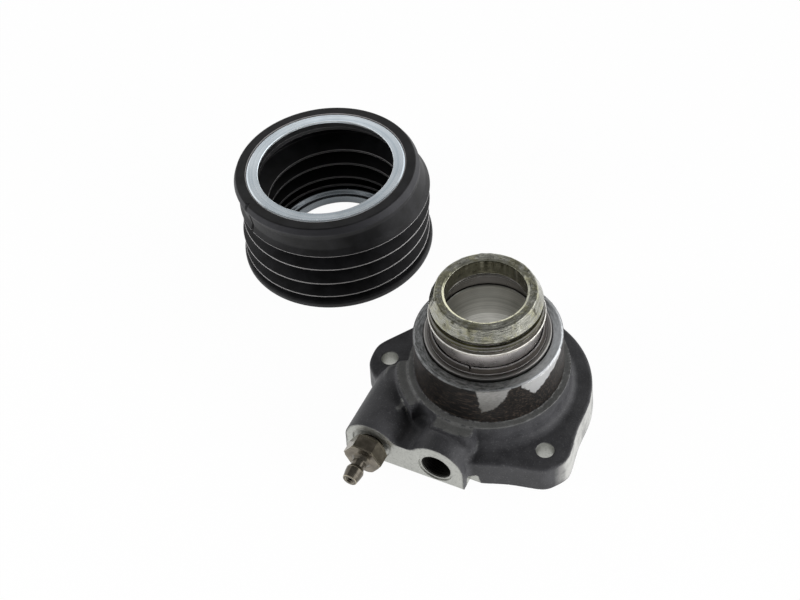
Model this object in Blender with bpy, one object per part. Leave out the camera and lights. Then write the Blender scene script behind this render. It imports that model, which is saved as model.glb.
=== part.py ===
"""Concentric clutch slave cylinder, with its rubber boot taken off and standing beside it.

Metres, +Z up. The origin is where the cylinder's axis meets the mounting face, and the ports face -Y.
The annular piston is drawn at the top of its travel. A radius or height below is measured from the
cylinder's axis or from the mounting face unless its comment says otherwise.
"""

import math

import bmesh
import bpy
import numpy as np
from mathutils import Vector

# Fits and facets
SEAT_GAP = 0.0003  # kept between two pieces that touch
FACETS = 32  # round a piece that shows
HIDDEN_FACETS = 24  # round a piece inside the bore
SMALL_FACETS = 16  # round a hole or a screw

# Flange of the casting
FLANGE_RADIUS = 0.0379
FLANGE_THICKNESS = 0.0110
BOLT_HOLE_DIAMETER = 0.0066
CAST_DRAFT = 0.0006  # a cast wall is this much wider at its foot
CAST_EDGE = 0.0009  # rounding of a cast top edge
OUTLINE_BLEND = 0.0008  # softness of the flange's corners in plan
OUTLINE_POINTS = 100
# Each ear: its direction and its bolt hole's distance from the axis, its reach, and its two straight
# sides, given by how far their normals turn from that direction and how far they pass from the axis
RIGHT_EAR_DIRECTION, RIGHT_EAR_SIDE_TURN = -35.4, 44.3
RIGHT_EAR_BOLT_RADIUS = 0.0376
RIGHT_EAR_REACH = 0.0456
RIGHT_EAR_SIDE = 0.0361
LEFT_EAR_DIRECTION, LEFT_EAR_SIDE_TURN = 186.6, 42.0
LEFT_EAR_BOLT_RADIUS = 0.0398
LEFT_EAR_REACH = 0.0470
LEFT_EAR_SIDE = 0.0384
BACK_EAR_DIRECTION, BACK_EAR_SIDE_TURN = 89.0, 87.0
BACK_EAR_BOLT_RADIUS = 0.0380
BACK_EAR_REACH = 0.0458
BACK_EAR_SIDE = 0.0092

# Boss of the casting
HOUSING_HEIGHT = 0.0388
BOSS_FOOT_RADIUS = 0.0275
BOSS_TOP_RADIUS = 0.0270
LIP_HEIGHT = 0.0006  # chamfer at the top of the boss
LIP_RADIUS = 0.0263
RIM_RADIUS = 0.0298  # ledge round the boss's foot, where the boot's ring seats
RIM_PROUD = 0.0006  # how far the ledge stands above the shoulder
SHOULDER_HEIGHT = 0.0207
SHOULDER_RADIUS = 0.0344
SHOULDER_FROM, SHOULDER_TO = -161.0, -77.0  # directions between which the shoulder runs
STEP_HEIGHT = 0.0176
STEP_RADIUS = 0.0384
STEP_TO = -128.0
FILLET_FOOT_RADIUS = 0.0330  # where the boss's fillet runs out on the flange
FILLET_HEIGHT = 0.0032  # and how far it climbs the wall below the ledge

# Port block: the inlet port and the bleeder boss, side by side, behind one machined face
PORT_FACE_Y = -0.0417
PORT_BLOCK_BACK_Y = -0.0150
INLET_X = -0.0034
INLET_Z = 0.0072
INLET_LOBE_RADIUS = 0.0110
BLEEDER_X = -0.0291
BLEEDER_Z = 0.0084
BLEEDER_LOBE_RADIUS = 0.0105
BLEEDER_FOOT_FLARE = 0.0006  # the lobe's outer wall leans out by this much down to its foot
BLEEDER_BOSS_END_Y = -0.0085
VALLEY_Z = 0.0130  # floor between the two lobes
VALLEY_FILLET = 0.0050
POCKET_X = -0.0132
POCKET_WIDTH = 0.0088
POCKET_END_Y = -0.0266
POCKET_FLARE = 0.0010  # the pocket is this much wider at its top
RELIEF_WIDTH = 0.0046  # notch under the flange beside the port block
RELIEF_LENGTH = 0.0050
RELIEF_HEIGHT = 0.0038

INLET_HOLE_RADIUS = 0.0057
INLET_DEPTH = 0.0130
INLET_SPOT_RADIUS = 0.0070
SPOT_DEPTH = 0.0005
PASSAGE_RADIUS = 0.0010
BLEED_THREAD_RADIUS = 0.0046
BLEED_THREAD_LENGTH = 0.0135
BLEED_SPOT_RADIUS = 0.0074
BLEED_PASSAGE_DIRECTION = 220.0  # where the bleed passage breaks into the annular bore

# Guide sleeve and what holds it in the back of the housing
GUIDE_SLEEVE_RADIUS = 0.0170
GUIDE_SLEEVE_WALL = 0.0013
GUIDE_SLEEVE_PROUD = 0.0047  # its end above the stop ring
FOOT_RADIUS = 0.0210
FOOT_THICKNESS = 0.0014
REAR_LIP = 0.0008  # metal behind the circlip
CIRCLIP_THICKNESS = 0.0010
CIRCLIP_GROOVE_DEPTH = 0.0013
CIRCLIP_WIDTH = 0.0030
CIRCLIP_EAR = 0.0022
CIRCLIP_GAP_DEGREES = 26.0
SLEEVE_SEAL_SECTION = 0.0014
FLOOR_WEB = 0.0010  # metal between the sleeve's seal and the pressure chamber

# Gasket ring in the mounting face
FACE_SEAL_RADIUS = 0.0262
FACE_SEAL_SECTION = 0.0020

# Annular bore, stop ring and wiper
BORE_RADIUS = 0.0234
STOP_RING_DEPTH = 0.0058
STOP_RING_PROUD = 0.0017
STOP_RING_SIDE_GAP = 0.0005
STOP_RING_RIM = 0.0006
LOCK_WIRE_SECTION = 0.0014
LOCK_WIRE_BELOW_TOP = 0.0024
LOCK_WIRE_GAP_DEGREES = 14.0
WIPER_DEPTH = 0.0032
WIPER_PROUD = 0.0021
WIPER_CONE_WIDTH = 0.0012  # of the scraper cone at its foot
WIPER_LIP_WIDTH = 0.0003
WIPER_NICK_DIRECTION = -84.0
WIPER_NICK_DEGREES = 2.6

# Piston and the pieces that slide with it
TRAVEL = 0.0061
PISTON_SLEEVE_RADIUS = 0.0196
PISTON_HEAD_LENGTH = 0.0060
GUIDE_BAND_HEIGHT = 0.0032
GUIDE_BAND_THICKNESS = 0.0009
GUIDE_BAND_GAP_DEGREES = 5.0
SEAL_HEIGHT = 0.0040
SEAL_LIP = 0.0012
SPREADER_HEIGHT = 0.0020
SNAP_RING_THICKNESS = 0.0011
SNAP_RING_RADIUS = 0.0208
SNAP_RING_GROOVE = 0.0009
SNAP_RING_GAP_DEGREES = 9.0
SNAP_RING_GAP_DIRECTION = 100.0
NECK_RADIUS = 0.0184
LAND_HEIGHT = 0.0006
CUSHION_HEIGHT = 0.0018
CUSHION_RADIUS = 0.0202
CROWN_BORE_RADIUS = 0.0150
COLLAR_HEIGHT = 0.0069
COLLAR_BORE_RADIUS = 0.0144
COLLAR_RADIUS = 0.0201
COLLAR_TOP_RADIUS = 0.0180  # of its coned side, where the top edge's rounding starts
COLLAR_EDGE = 0.0005
COLLAR_SPIGOT_RADIUS = 0.0189  # of the reduced foot that stands on the crown
COLLAR_SPIGOT_HEIGHT = 0.0019

# Preload spring
SPRING_WIRE = 0.0010
SPRING_TURNS = 3.5
SPRING_STATIONS_PER_TURN = 16

# Bleed screw, along its own axis from the port face outwards
HEX_ACROSS_FLATS = 0.0130
HEX_TURN = -6.0  # of one corner from +X
HEX_LENGTH = 0.0060
HEX_STAND_OFF = 0.0016
WASHER_FACE = 0.0006  # turned step under the hexagon
NECK_LENGTH = 0.0042
BLEED_NECK_RADIUS = 0.0027
BARB_RADIUS = 0.0033
BARB_LENGTH = 0.0054
BLEED_BORE_RADIUS = 0.0011
BLEED_CROSS_HOLE_RADIUS = 0.0008

# Boot, standing on the same surface as the mounting face
BOOT_X = -0.0942
BOOT_Y = 0.0548
BOOT_FACETS = 36
BOOT_HEIGHT = 0.0422
BOOT_LIP_RADIUS = 0.0382
BOOT_LIP_DROP = 0.0025  # from the top of the boot to the widest point of its lip
BOOT_FOLDS = 4
BOOT_TOP_RIDGE_Z = 0.0291
BOOT_FOLD_PITCH = 0.0077
BOOT_TOP_RIDGE_RADIUS = 0.0397
BOOT_RIDGE_RADIUS = 0.0400
BOOT_VALLEY_RADIUS = 0.0318
BOOT_FOLD_WALL = 0.0034  # measured level, through a slanting flank
BOOT_BEAD_RADIUS = 0.0404
BOOT_BEAD_HEIGHT = 0.0030
BOOT_BEAD_BORE_RADIUS = 0.0302
BOOT_RING_BORE_RADIUS = BOSS_FOOT_RADIUS + SEAT_GAP
BOOT_RING_RADIUS = 0.0324
BOOT_RING_THICKNESS = 0.0009
BASE_RING_RADIUS = 0.0354
BASE_RING_THICKNESS = 0.0008
BASE_RING_HUMP_RADIUS = 0.0278
BASE_RING_HUMP = 0.0014
BASE_RING_BEND_RADIUS = 0.0246
BASE_RING_BORE_RADIUS = 0.0222

# Worked out from the values above
EARS = (
    (RIGHT_EAR_DIRECTION, RIGHT_EAR_BOLT_RADIUS, RIGHT_EAR_REACH, RIGHT_EAR_SIDE_TURN, RIGHT_EAR_SIDE),
    (LEFT_EAR_DIRECTION, LEFT_EAR_BOLT_RADIUS, LEFT_EAR_REACH, LEFT_EAR_SIDE_TURN, LEFT_EAR_SIDE),
    (BACK_EAR_DIRECTION, BACK_EAR_BOLT_RADIUS, BACK_EAR_REACH, BACK_EAR_SIDE_TURN, BACK_EAR_SIDE),
)
CIRCLIP_Z = REAR_LIP + SEAT_GAP
FOOT_Z = CIRCLIP_Z + CIRCLIP_THICKNESS + SEAT_GAP
SLEEVE_SEAL_Z = FOOT_Z + FOOT_THICKNESS + SEAT_GAP
CHAMBER_FLOOR_Z = SLEEVE_SEAL_Z + SLEEVE_SEAL_SECTION + SEAT_GAP + FLOOR_WEB
STOP_RING_Z = HOUSING_HEIGHT - STOP_RING_DEPTH
STOP_RING_TOP = HOUSING_HEIGHT + STOP_RING_PROUD
WIPER_TOP = STOP_RING_TOP + WIPER_PROUD
GUIDE_SLEEVE_TOP = STOP_RING_TOP + GUIDE_SLEEVE_PROUD
PISTON_HEAD_TOP = STOP_RING_Z - SEAT_GAP
PISTON_BASE = PISTON_HEAD_TOP - PISTON_HEAD_LENGTH
SEAL_BASE = PISTON_BASE - SEAT_GAP - SEAL_HEIGHT
SPREADER_BASE = SEAL_BASE - SEAT_GAP - SPREADER_HEIGHT
SNAP_GROOVE_Z = WIPER_TOP + TRAVEL + SEAT_GAP
SNAP_RING_Z = SNAP_GROOVE_Z + SEAT_GAP
LAND_Z = SNAP_RING_Z + SNAP_RING_THICKNESS + SEAT_GAP
NECK_Z = LAND_Z + LAND_HEIGHT
CROWN_TOP = NECK_Z + SEAT_GAP + CUSHION_HEIGHT
CROWN_UNDERSIDE = GUIDE_SLEEVE_TOP + TRAVEL + SEAT_GAP
COLLAR_Z = CROWN_TOP + SEAT_GAP
PISTON_BORE_RADIUS = GUIDE_SLEEVE_RADIUS + SEAT_GAP
CYLINDER_FIT_RADIUS = BORE_RADIUS - SEAT_GAP
LOCK_WIRE_Z = HOUSING_HEIGHT - LOCK_WIRE_BELOW_TOP
LOCK_WIRE_RADIUS = BORE_RADIUS - STOP_RING_SIDE_GAP / 2


def clear_scene():
    for obj in list(bpy.data.objects):
        bpy.data.objects.remove(obj)


def make_material(name, colour, roughness, metallic):
    material = bpy.data.materials.new(name)
    material.use_nodes = True
    shader = material.node_tree.nodes["Principled BSDF"]
    shader.inputs["Base Color"].default_value = (*colour, 1.0)
    shader.inputs["Roughness"].default_value = roughness
    shader.inputs["Metallic"].default_value = metallic
    return material


def object_from(name, form, material, location=(0.0, 0.0, 0.0), rotation=(0.0, 0.0, 0.0)):
    """Turns a bmesh into an object with its faces pointing out and its round walls shaded smooth."""
    bmesh.ops.recalc_face_normals(form, faces=form.faces)
    mesh = bpy.data.meshes.new(name)
    form.to_mesh(mesh)
    form.free()
    mesh.materials.append(material)
    mesh.shade_smooth()
    mesh.set_sharp_from_angle(angle=math.radians(35.0))
    obj = bpy.data.objects.new(name, mesh)
    obj.location = location
    obj.rotation_euler = rotation
    bpy.context.scene.collection.objects.link(obj)
    return obj


def combine(target, tool, operation):
    """Adds or cuts a helper, which is then left out of the model."""
    modifier = target.modifiers.new(f"{operation.lower()} {tool.name}", "BOOLEAN")
    modifier.operation = operation
    modifier.object = tool
    tool.hide_render = True
    tool.display_type = "WIRE"


def turn(profile, facets, from_degrees=0.0, sweep_degrees=360.0):
    """Turns a closed (radius, height) outline round Z. Less than a full turn leaves a C with flat ends."""
    form = bmesh.new()
    whole = sweep_degrees >= 360.0
    stations = facets if whole else facets + 1
    on_axis = {}
    rings = []
    for station in range(stations):
        angle = math.radians(from_degrees + sweep_degrees * station / facets)
        ring = []
        for place, (radius, height) in enumerate(profile):
            if radius == 0.0 and place in on_axis:
                ring.append(on_axis[place])
                continue
            vertex = form.verts.new((radius * math.cos(angle), radius * math.sin(angle), height))
            if radius == 0.0:
                on_axis[place] = vertex
            ring.append(vertex)
        rings.append(ring)
    pairs = zip(rings, rings[1:] + rings[:1]) if whole else zip(rings, rings[1:])
    for ring, following in pairs:
        for place in range(len(profile)):
            after = (place + 1) % len(profile)
            corners = [ring[place], following[place], following[after], ring[after]]
            corners = list(dict.fromkeys(corners))
            if len(corners) > 2:
                form.faces.new(corners)
    if not whole:
        form.faces.new(rings[0])
        form.faces.new(rings[-1])
    return form


def stack(outline, levels):
    """Stacks a closed plan outline at (height, offset) levels, each grown sideways by its offset."""
    outline = np.asarray(outline)
    along = np.roll(outline, -1, axis=0) - np.roll(outline, 1, axis=0)
    outward = np.stack([along[:, 1], -along[:, 0]], axis=1)
    outward /= np.linalg.norm(outward, axis=1, keepdims=True)
    form = bmesh.new()
    rings = []
    for height, offset in levels:
        rings.append([form.verts.new((x, y, height)) for x, y in outline + outward * offset])
    for lower, upper in zip(rings, rings[1:]):
        for place in range(len(outline)):
            after = (place + 1) % len(outline)
            form.faces.new((lower[place], lower[after], upper[after], upper[place]))
    form.faces.new(rings[0])
    form.faces.new(rings[-1])
    return form


def arc(centre, radius, from_degrees, to_degrees, points):
    """Points of a plan or section arc, ends included."""
    angles = np.radians(np.linspace(from_degrees, to_degrees, points))
    return [(centre[0] + radius * math.cos(a), centre[1] + radius * math.sin(a)) for a in angles]


def cast_levels(foot, top):
    """Levels of a cast form: draft on the wall and a rounded top edge."""
    rounding = [
        (top - CAST_EDGE * (1.0 - math.sin(a)), -CAST_EDGE * (1.0 - math.cos(a)))
        for a in (0.0, math.pi / 4, math.pi / 2)
    ]
    return [(foot, CAST_DRAFT)] + rounding


def soft_max(a, b):
    return max(a, b) + OUTLINE_BLEND * math.log1p(math.exp(-abs(a - b) / OUTLINE_BLEND))


def soft_min(a, b):
    return min(a, b) - OUTLINE_BLEND * math.log1p(math.exp(-abs(a - b) / OUTLINE_BLEND))


def ear_radius(ear, angle):
    """How far an ear reaches in a direction: its end arc, or the side line on that half of it."""
    direction, _, reach, side_turn, side_distance = ear
    off = abs((angle - math.radians(direction) + math.pi) % (2 * math.pi) - math.pi)
    past_side = off - math.radians(side_turn)
    if past_side >= 0.0:
        return max(side_distance - past_side * FLANGE_RADIUS, 0.0)
    return soft_min(reach, side_distance / math.cos(past_side))


def flange_outline():
    """The disc and its ears in plan, blended where they meet."""
    points = []
    for place in range(OUTLINE_POINTS):
        angle = 2 * math.pi * place / OUTLINE_POINTS
        radius = FLANGE_RADIUS
        for ear in EARS:
            radius = soft_max(radius, ear_radius(ear, angle))
        points.append((radius * math.cos(angle), radius * math.sin(angle)))
    return points


def sector_outline(inner, outer, from_degrees, to_degrees):
    """Plan of a piece of a ring, anticlockwise."""
    steps = max(4, round(abs(to_degrees - from_degrees) / 6.0))
    out_arc = arc((0.0, 0.0), outer, from_degrees, to_degrees, steps)
    in_arc = arc((0.0, 0.0), inner, to_degrees, from_degrees, steps)
    return out_arc + in_arc


def boss_profile():
    """Outer wall of the boss: lip, tapered wall, seating ledge, and a fillet that runs out on the flange."""
    ledge_top = SHOULDER_HEIGHT + RIM_PROUD
    fillet_width = FILLET_FOOT_RADIUS - RIM_RADIUS
    fillet_foot_z = FLANGE_THICKNESS - CAST_EDGE / 2
    fillet = [
        (
            FILLET_FOOT_RADIUS - fillet_width * math.cos(a),
            fillet_foot_z + FILLET_HEIGHT * (1.0 - math.sin(a)),
        )
        for a in np.linspace(0.0, math.pi / 2, 5)
    ]
    return [
        (0.0, HOUSING_HEIGHT),
        (LIP_RADIUS, HOUSING_HEIGHT),
        (BOSS_TOP_RADIUS, HOUSING_HEIGHT - LIP_HEIGHT),
        (BOSS_FOOT_RADIUS, ledge_top),
        (RIM_RADIUS, ledge_top - CAST_EDGE / 3),
        *fillet,
        (FILLET_FOOT_RADIUS, FLANGE_THICKNESS / 2),
        (0.0, FLANGE_THICKNESS / 2),
    ]


def port_block_outline():
    """Front of the port block: flat foot, right wall, inlet lobe, valley, bleeder lobe, leaning left wall."""
    fillet_z = VALLEY_Z + VALLEY_FILLET
    inlet_reach = INLET_LOBE_RADIUS + VALLEY_FILLET
    bleeder_reach = BLEEDER_LOBE_RADIUS + VALLEY_FILLET
    inlet_rise = math.asin((fillet_z - INLET_Z) / inlet_reach)
    bleeder_rise = math.asin((fillet_z - BLEEDER_Z) / bleeder_reach)
    inlet_fillet_x = INLET_X - inlet_reach * math.cos(inlet_rise)
    bleeder_fillet_x = BLEEDER_X + bleeder_reach * math.cos(bleeder_rise)
    inlet_turn, bleeder_turn = math.degrees(inlet_rise), math.degrees(bleeder_rise)
    below = -CAST_EDGE
    outline = [(INLET_X + INLET_LOBE_RADIUS, below)]
    outline += arc((INLET_X, INLET_Z), INLET_LOBE_RADIUS, 0.0, 180.0 - inlet_turn, 14)
    outline += arc((inlet_fillet_x, fillet_z), VALLEY_FILLET, -inlet_turn, -90.0, 5)[1:]
    outline += arc((bleeder_fillet_x, fillet_z), VALLEY_FILLET, -90.0, bleeder_turn - 180.0, 5)
    outline += arc((BLEEDER_X, BLEEDER_Z), BLEEDER_LOBE_RADIUS, bleeder_turn, 180.0, 14)[1:]
    outline.append((BLEEDER_X - BLEEDER_LOBE_RADIUS - BLEEDER_FOOT_FLARE, below))
    return outline


def along_port_axis(name, form, material, x, z):
    """Places a form so that its own +Z points out of the port face, from the face at (x, z)."""
    return object_from(name, form, material, (x, PORT_FACE_Y, z), (math.pi / 2, 0.0, 0.0))


def rod_between(name, start, end, radius, material):
    """A plain drill between two points."""
    start, end = Vector(start), Vector(end)
    length = (end - start).length
    form = turn([(0.0, 0.0), (radius, 0.0), (radius, length), (0.0, length)], SMALL_FACETS // 2)
    rotation = (end - start).to_track_quat("Z", "Y").to_euler()
    return object_from(name, form, material, start, rotation)


def bore_profile():
    """Everything turned out of the casting on its axis, from behind the flange to above the lip."""
    counterbore = FOOT_RADIUS + SEAT_GAP
    groove = counterbore + CIRCLIP_GROOVE_DEPTH
    seal_out = PISTON_BORE_RADIUS + SLEEVE_SEAL_SECTION + SEAT_GAP
    wire_groove = BORE_RADIUS + LOCK_WIRE_SECTION / 2
    wire_half = LOCK_WIRE_SECTION / 2 + SEAT_GAP
    above = HOUSING_HEIGHT + STOP_RING_PROUD
    return [
        (0.0, -REAR_LIP),
        (counterbore, -REAR_LIP),
        (counterbore, REAR_LIP),
        (groove, REAR_LIP),
        (groove, FOOT_Z),
        (counterbore, FOOT_Z),
        (counterbore, SLEEVE_SEAL_Z),
        (seal_out, SLEEVE_SEAL_Z),
        (seal_out, CHAMBER_FLOOR_Z - FLOOR_WEB),
        (PISTON_BORE_RADIUS, CHAMBER_FLOOR_Z - FLOOR_WEB),
        (PISTON_BORE_RADIUS, CHAMBER_FLOOR_Z),
        (BORE_RADIUS, CHAMBER_FLOOR_Z),
        (BORE_RADIUS, LOCK_WIRE_Z - wire_half),
        (wire_groove, LOCK_WIRE_Z - wire_half),
        (wire_groove, LOCK_WIRE_Z + wire_half),
        (BORE_RADIUS, LOCK_WIRE_Z + wire_half),
        (BORE_RADIUS, HOUSING_HEIGHT - SEAT_GAP),
        (BORE_RADIUS + SEAT_GAP, HOUSING_HEIGHT),
        (BORE_RADIUS + SEAT_GAP, above),
        (0.0, above),
    ]


def make_housing(cast, helper):
    under = -2 * CAST_EDGE
    housing = object_from(
        "housing", stack(flange_outline(), cast_levels(under, FLANGE_THICKNESS)), cast
    )

    def add(name, form, location=(0.0, 0.0, 0.0), rotation=(0.0, 0.0, 0.0)):
        tool = object_from(name, form, helper, location, rotation)
        combine(housing, tool, "UNION")
        return tool

    def cut(tool):
        combine(housing, tool, "DIFFERENCE")

    add("boss_form", turn(boss_profile(), FACETS))
    port_depth = PORT_BLOCK_BACK_Y - PORT_FACE_Y
    block = along_port_axis(
        "port_block_form", stack(port_block_outline(), [(-port_depth, 0.0), (0.0, 0.0)]), helper, 0.0, 0.0
    )
    combine(housing, block, "UNION")
    boss_length = BLEEDER_BOSS_END_Y - PORT_FACE_Y
    end_round = BLEEDER_LOBE_RADIUS / 2
    boss_end = [
        (BLEEDER_LOBE_RADIUS * math.cos(a), -boss_length + end_round * (1.0 - math.sin(a)))
        for a in np.linspace(0.0, math.pi / 2, 6)[:-1]
    ]
    bleeder_form = [(0.0, -CAST_EDGE), (BLEEDER_LOBE_RADIUS, -CAST_EDGE), *boss_end, (0.0, -boss_length)]
    bleeder_boss = along_port_axis(
        "bleeder_boss_form", turn(bleeder_form, FACETS // 2), helper, BLEEDER_X, BLEEDER_Z
    )
    combine(housing, bleeder_boss, "UNION")

    inside = (BORE_RADIUS + BOSS_TOP_RADIUS) / 2
    pocket_half = POCKET_WIDTH / 2
    pocket_far = PORT_FACE_Y - POCKET_WIDTH
    pocket_round = arc((POCKET_X, POCKET_END_Y - pocket_half), pocket_half, 0.0, 180.0, 11)
    pocket_plan = pocket_round + [(POCKET_X - pocket_half, pocket_far), (POCKET_X + pocket_half, pocket_far)]
    pocket_top = SHOULDER_HEIGHT + POCKET_WIDTH / 2
    pocket = object_from(
        "pocket_form",
        stack(pocket_plan, [(VALLEY_Z - VALLEY_FILLET, 0.0), (VALLEY_Z, 0.0), (pocket_top, POCKET_FLARE)]),
        helper,
    )
    for name, radius, until, height in (
        ("shoulder_form", SHOULDER_RADIUS, SHOULDER_TO, SHOULDER_HEIGHT),
        ("step_form", STEP_RADIUS, STEP_TO, STEP_HEIGHT),
    ):
        plan = sector_outline(inside, radius, SHOULDER_FROM, until)
        pad = object_from(name, stack(plan, cast_levels(FLANGE_THICKNESS / 2, height)), helper)
        combine(pad, pocket, "DIFFERENCE")
        combine(housing, pad, "UNION")

    # Milled and drilled afterwards, as on the real casting
    wide = 3 * FLANGE_RADIUS
    mill_plan = [(-wide, -wide), (wide, -wide), (wide, wide), (-wide, wide)]
    cut(object_from("mounting_face_mill", stack(mill_plan, [(10 * under, 0.0), (0.0, 0.0)]), helper))
    cut(object_from("bore_tool", turn(bore_profile(), FACETS), helper))
    half_seal = FACE_SEAL_SECTION / 2 + SEAT_GAP
    seal_depth = FACE_SEAL_SECTION + 2 * SEAT_GAP
    face_groove = [
        (FACE_SEAL_RADIUS - half_seal, under),
        (FACE_SEAL_RADIUS + half_seal, under),
        (FACE_SEAL_RADIUS + half_seal, seal_depth),
        (FACE_SEAL_RADIUS - half_seal, seal_depth),
    ]
    cut(object_from("face_groove_tool", turn(face_groove, FACETS), helper))
    drill = [
        (0.0, under),
        (BOLT_HOLE_DIAMETER / 2, under),
        (BOLT_HOLE_DIAMETER / 2, 2 * FLANGE_THICKNESS),
        (0.0, 2 * FLANGE_THICKNESS),
    ]
    for number, (direction, bolt_radius, *_) in enumerate(EARS, start=1):
        towards = math.radians(direction)
        place = (bolt_radius * math.cos(towards), bolt_radius * math.sin(towards), 0.0)
        cut(object_from(f"bolt_drill_{number}", turn(drill, SMALL_FACETS), helper, place))

    out = INLET_DEPTH / 2
    broken_into = BORE_RADIUS - 2 * PASSAGE_RADIUS
    inlet = [
        (0.0, out),
        (INLET_SPOT_RADIUS, out),
        (INLET_SPOT_RADIUS, -SPOT_DEPTH),
        (INLET_HOLE_RADIUS, -SPOT_DEPTH - SEAT_GAP),
        (INLET_HOLE_RADIUS, -INLET_DEPTH),
        (PASSAGE_RADIUS, -INLET_DEPTH - INLET_HOLE_RADIUS * 0.6),
        (PASSAGE_RADIUS, PORT_FACE_Y + broken_into),
        (0.0, PORT_FACE_Y + broken_into),
    ]
    cut(along_port_axis("inlet_drill", turn(inlet, SMALL_FACETS), helper, INLET_X, INLET_Z))
    seat = -BLEED_THREAD_LENGTH - SEAT_GAP
    hole_radius = BLEED_THREAD_RADIUS + SEAT_GAP
    bleed_hole = [
        (0.0, out),
        (BLEED_SPOT_RADIUS, out),
        (BLEED_SPOT_RADIUS, -SPOT_DEPTH),
        (hole_radius, -SPOT_DEPTH - SEAT_GAP),
        (hole_radius, seat),
        (0.0, seat - hole_radius),
    ]
    cut(along_port_axis("bleed_drill", turn(bleed_hole, SMALL_FACETS), helper, BLEEDER_X, BLEEDER_Z))
    passage_start = (BLEEDER_X, PORT_FACE_Y - seat, BLEEDER_Z)
    towards = math.radians(BLEED_PASSAGE_DIRECTION)
    passage_end = (broken_into * math.cos(towards), broken_into * math.sin(towards), BLEEDER_Z)
    cut(rod_between("bleed_passage_drill", passage_start, passage_end, PASSAGE_RADIUS, helper))

    wall_x = INLET_X + INLET_LOBE_RADIUS
    edge_y = -FLANGE_RADIUS + RELIEF_LENGTH / 4
    relief_plan = [
        (wall_x, edge_y - RELIEF_LENGTH),
        (wall_x + RELIEF_WIDTH, edge_y - RELIEF_LENGTH),
        (wall_x + RELIEF_WIDTH, edge_y),
        (wall_x, edge_y),
    ]
    cut(object_from("relief_form", stack(relief_plan, [(under, 0.0), (RELIEF_HEIGHT, 0.0)]), helper))
    return housing


def ring_section(radius, height, section, points=6):
    """Round section of an O-ring or wire ring, as a closed outline."""
    return arc((radius, height), section / 2, 0.0, 360.0 - 360.0 / points, points)


def make_guide_sleeve(steel):
    inner = GUIDE_SLEEVE_RADIUS - GUIDE_SLEEVE_WALL
    lead = GUIDE_SLEEVE_WALL / 2
    profile = [
        (inner, FOOT_Z + lead),
        (inner + lead, FOOT_Z),
        (FOOT_RADIUS, FOOT_Z),
        (FOOT_RADIUS, FOOT_Z + FOOT_THICKNESS),
        (GUIDE_SLEEVE_RADIUS, FOOT_Z + FOOT_THICKNESS),
        (GUIDE_SLEEVE_RADIUS, GUIDE_SLEEVE_TOP - lead),
        (GUIDE_SLEEVE_RADIUS - lead / 2, GUIDE_SLEEVE_TOP),
        (inner + lead / 2, GUIDE_SLEEVE_TOP),
        (inner, GUIDE_SLEEVE_TOP - lead),
    ]
    object_from("guide_sleeve", turn(profile, FACETS), steel)


def make_circlip(steel):
    """Flat C ring that widens into an ear with a plier hole at each end."""
    outer = FOOT_RADIUS + CIRCLIP_GROOVE_DEPTH
    half_gap = CIRCLIP_GAP_DEGREES / 2
    half_sweep = 180.0 - half_gap
    turns = np.linspace(-half_sweep, half_sweep, 29)
    ear_share = 14.0 / half_sweep
    shares = np.abs(turns) / half_sweep
    widths = CIRCLIP_WIDTH * (1.0 - 0.3 * shares) + CIRCLIP_EAR * (shares > 1.0 - ear_share)
    outside = [(outer * math.cos(math.radians(t)), outer * math.sin(math.radians(t))) for t in turns]
    inside = [
        ((outer - w) * math.cos(math.radians(t)), (outer - w) * math.sin(math.radians(t)))
        for t, w in zip(turns[::-1], widths[::-1])
    ]
    levels = [(CIRCLIP_Z, 0.0), (CIRCLIP_Z + CIRCLIP_THICKNESS, 0.0)]
    circlip = object_from("guide_sleeve_circlip", stack(outside + inside, levels), steel)
    hole_reach = outer - CIRCLIP_WIDTH / 2 - CIRCLIP_EAR / 2
    hole_radius = CIRCLIP_EAR / 3
    hole = [(0.0, 0.0), (hole_radius, 0.0), (hole_radius, FOOT_Z), (0.0, FOOT_Z)]
    for side in (-1.0, 1.0):
        towards = math.radians(side * (half_sweep - 7.0))
        place = (hole_reach * math.cos(towards), hole_reach * math.sin(towards), 0.0)
        plier_hole = object_from(f"plier_hole_{side:+.0f}", turn(hole, 12), steel, place)
        combine(circlip, plier_hole, "DIFFERENCE")


def make_seals(rubber):
    sleeve_seal = ring_section(
        PISTON_BORE_RADIUS + SLEEVE_SEAL_SECTION / 2,
        SLEEVE_SEAL_Z + SLEEVE_SEAL_SECTION / 2,
        SLEEVE_SEAL_SECTION,
    )
    object_from("guide_sleeve_o_ring", turn(sleeve_seal, HIDDEN_FACETS), rubber)
    face_seal = ring_section(FACE_SEAL_RADIUS, SEAT_GAP + FACE_SEAL_SECTION / 2, FACE_SEAL_SECTION)
    object_from("flange_o_ring", turn(face_seal, HIDDEN_FACETS), rubber)


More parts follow.
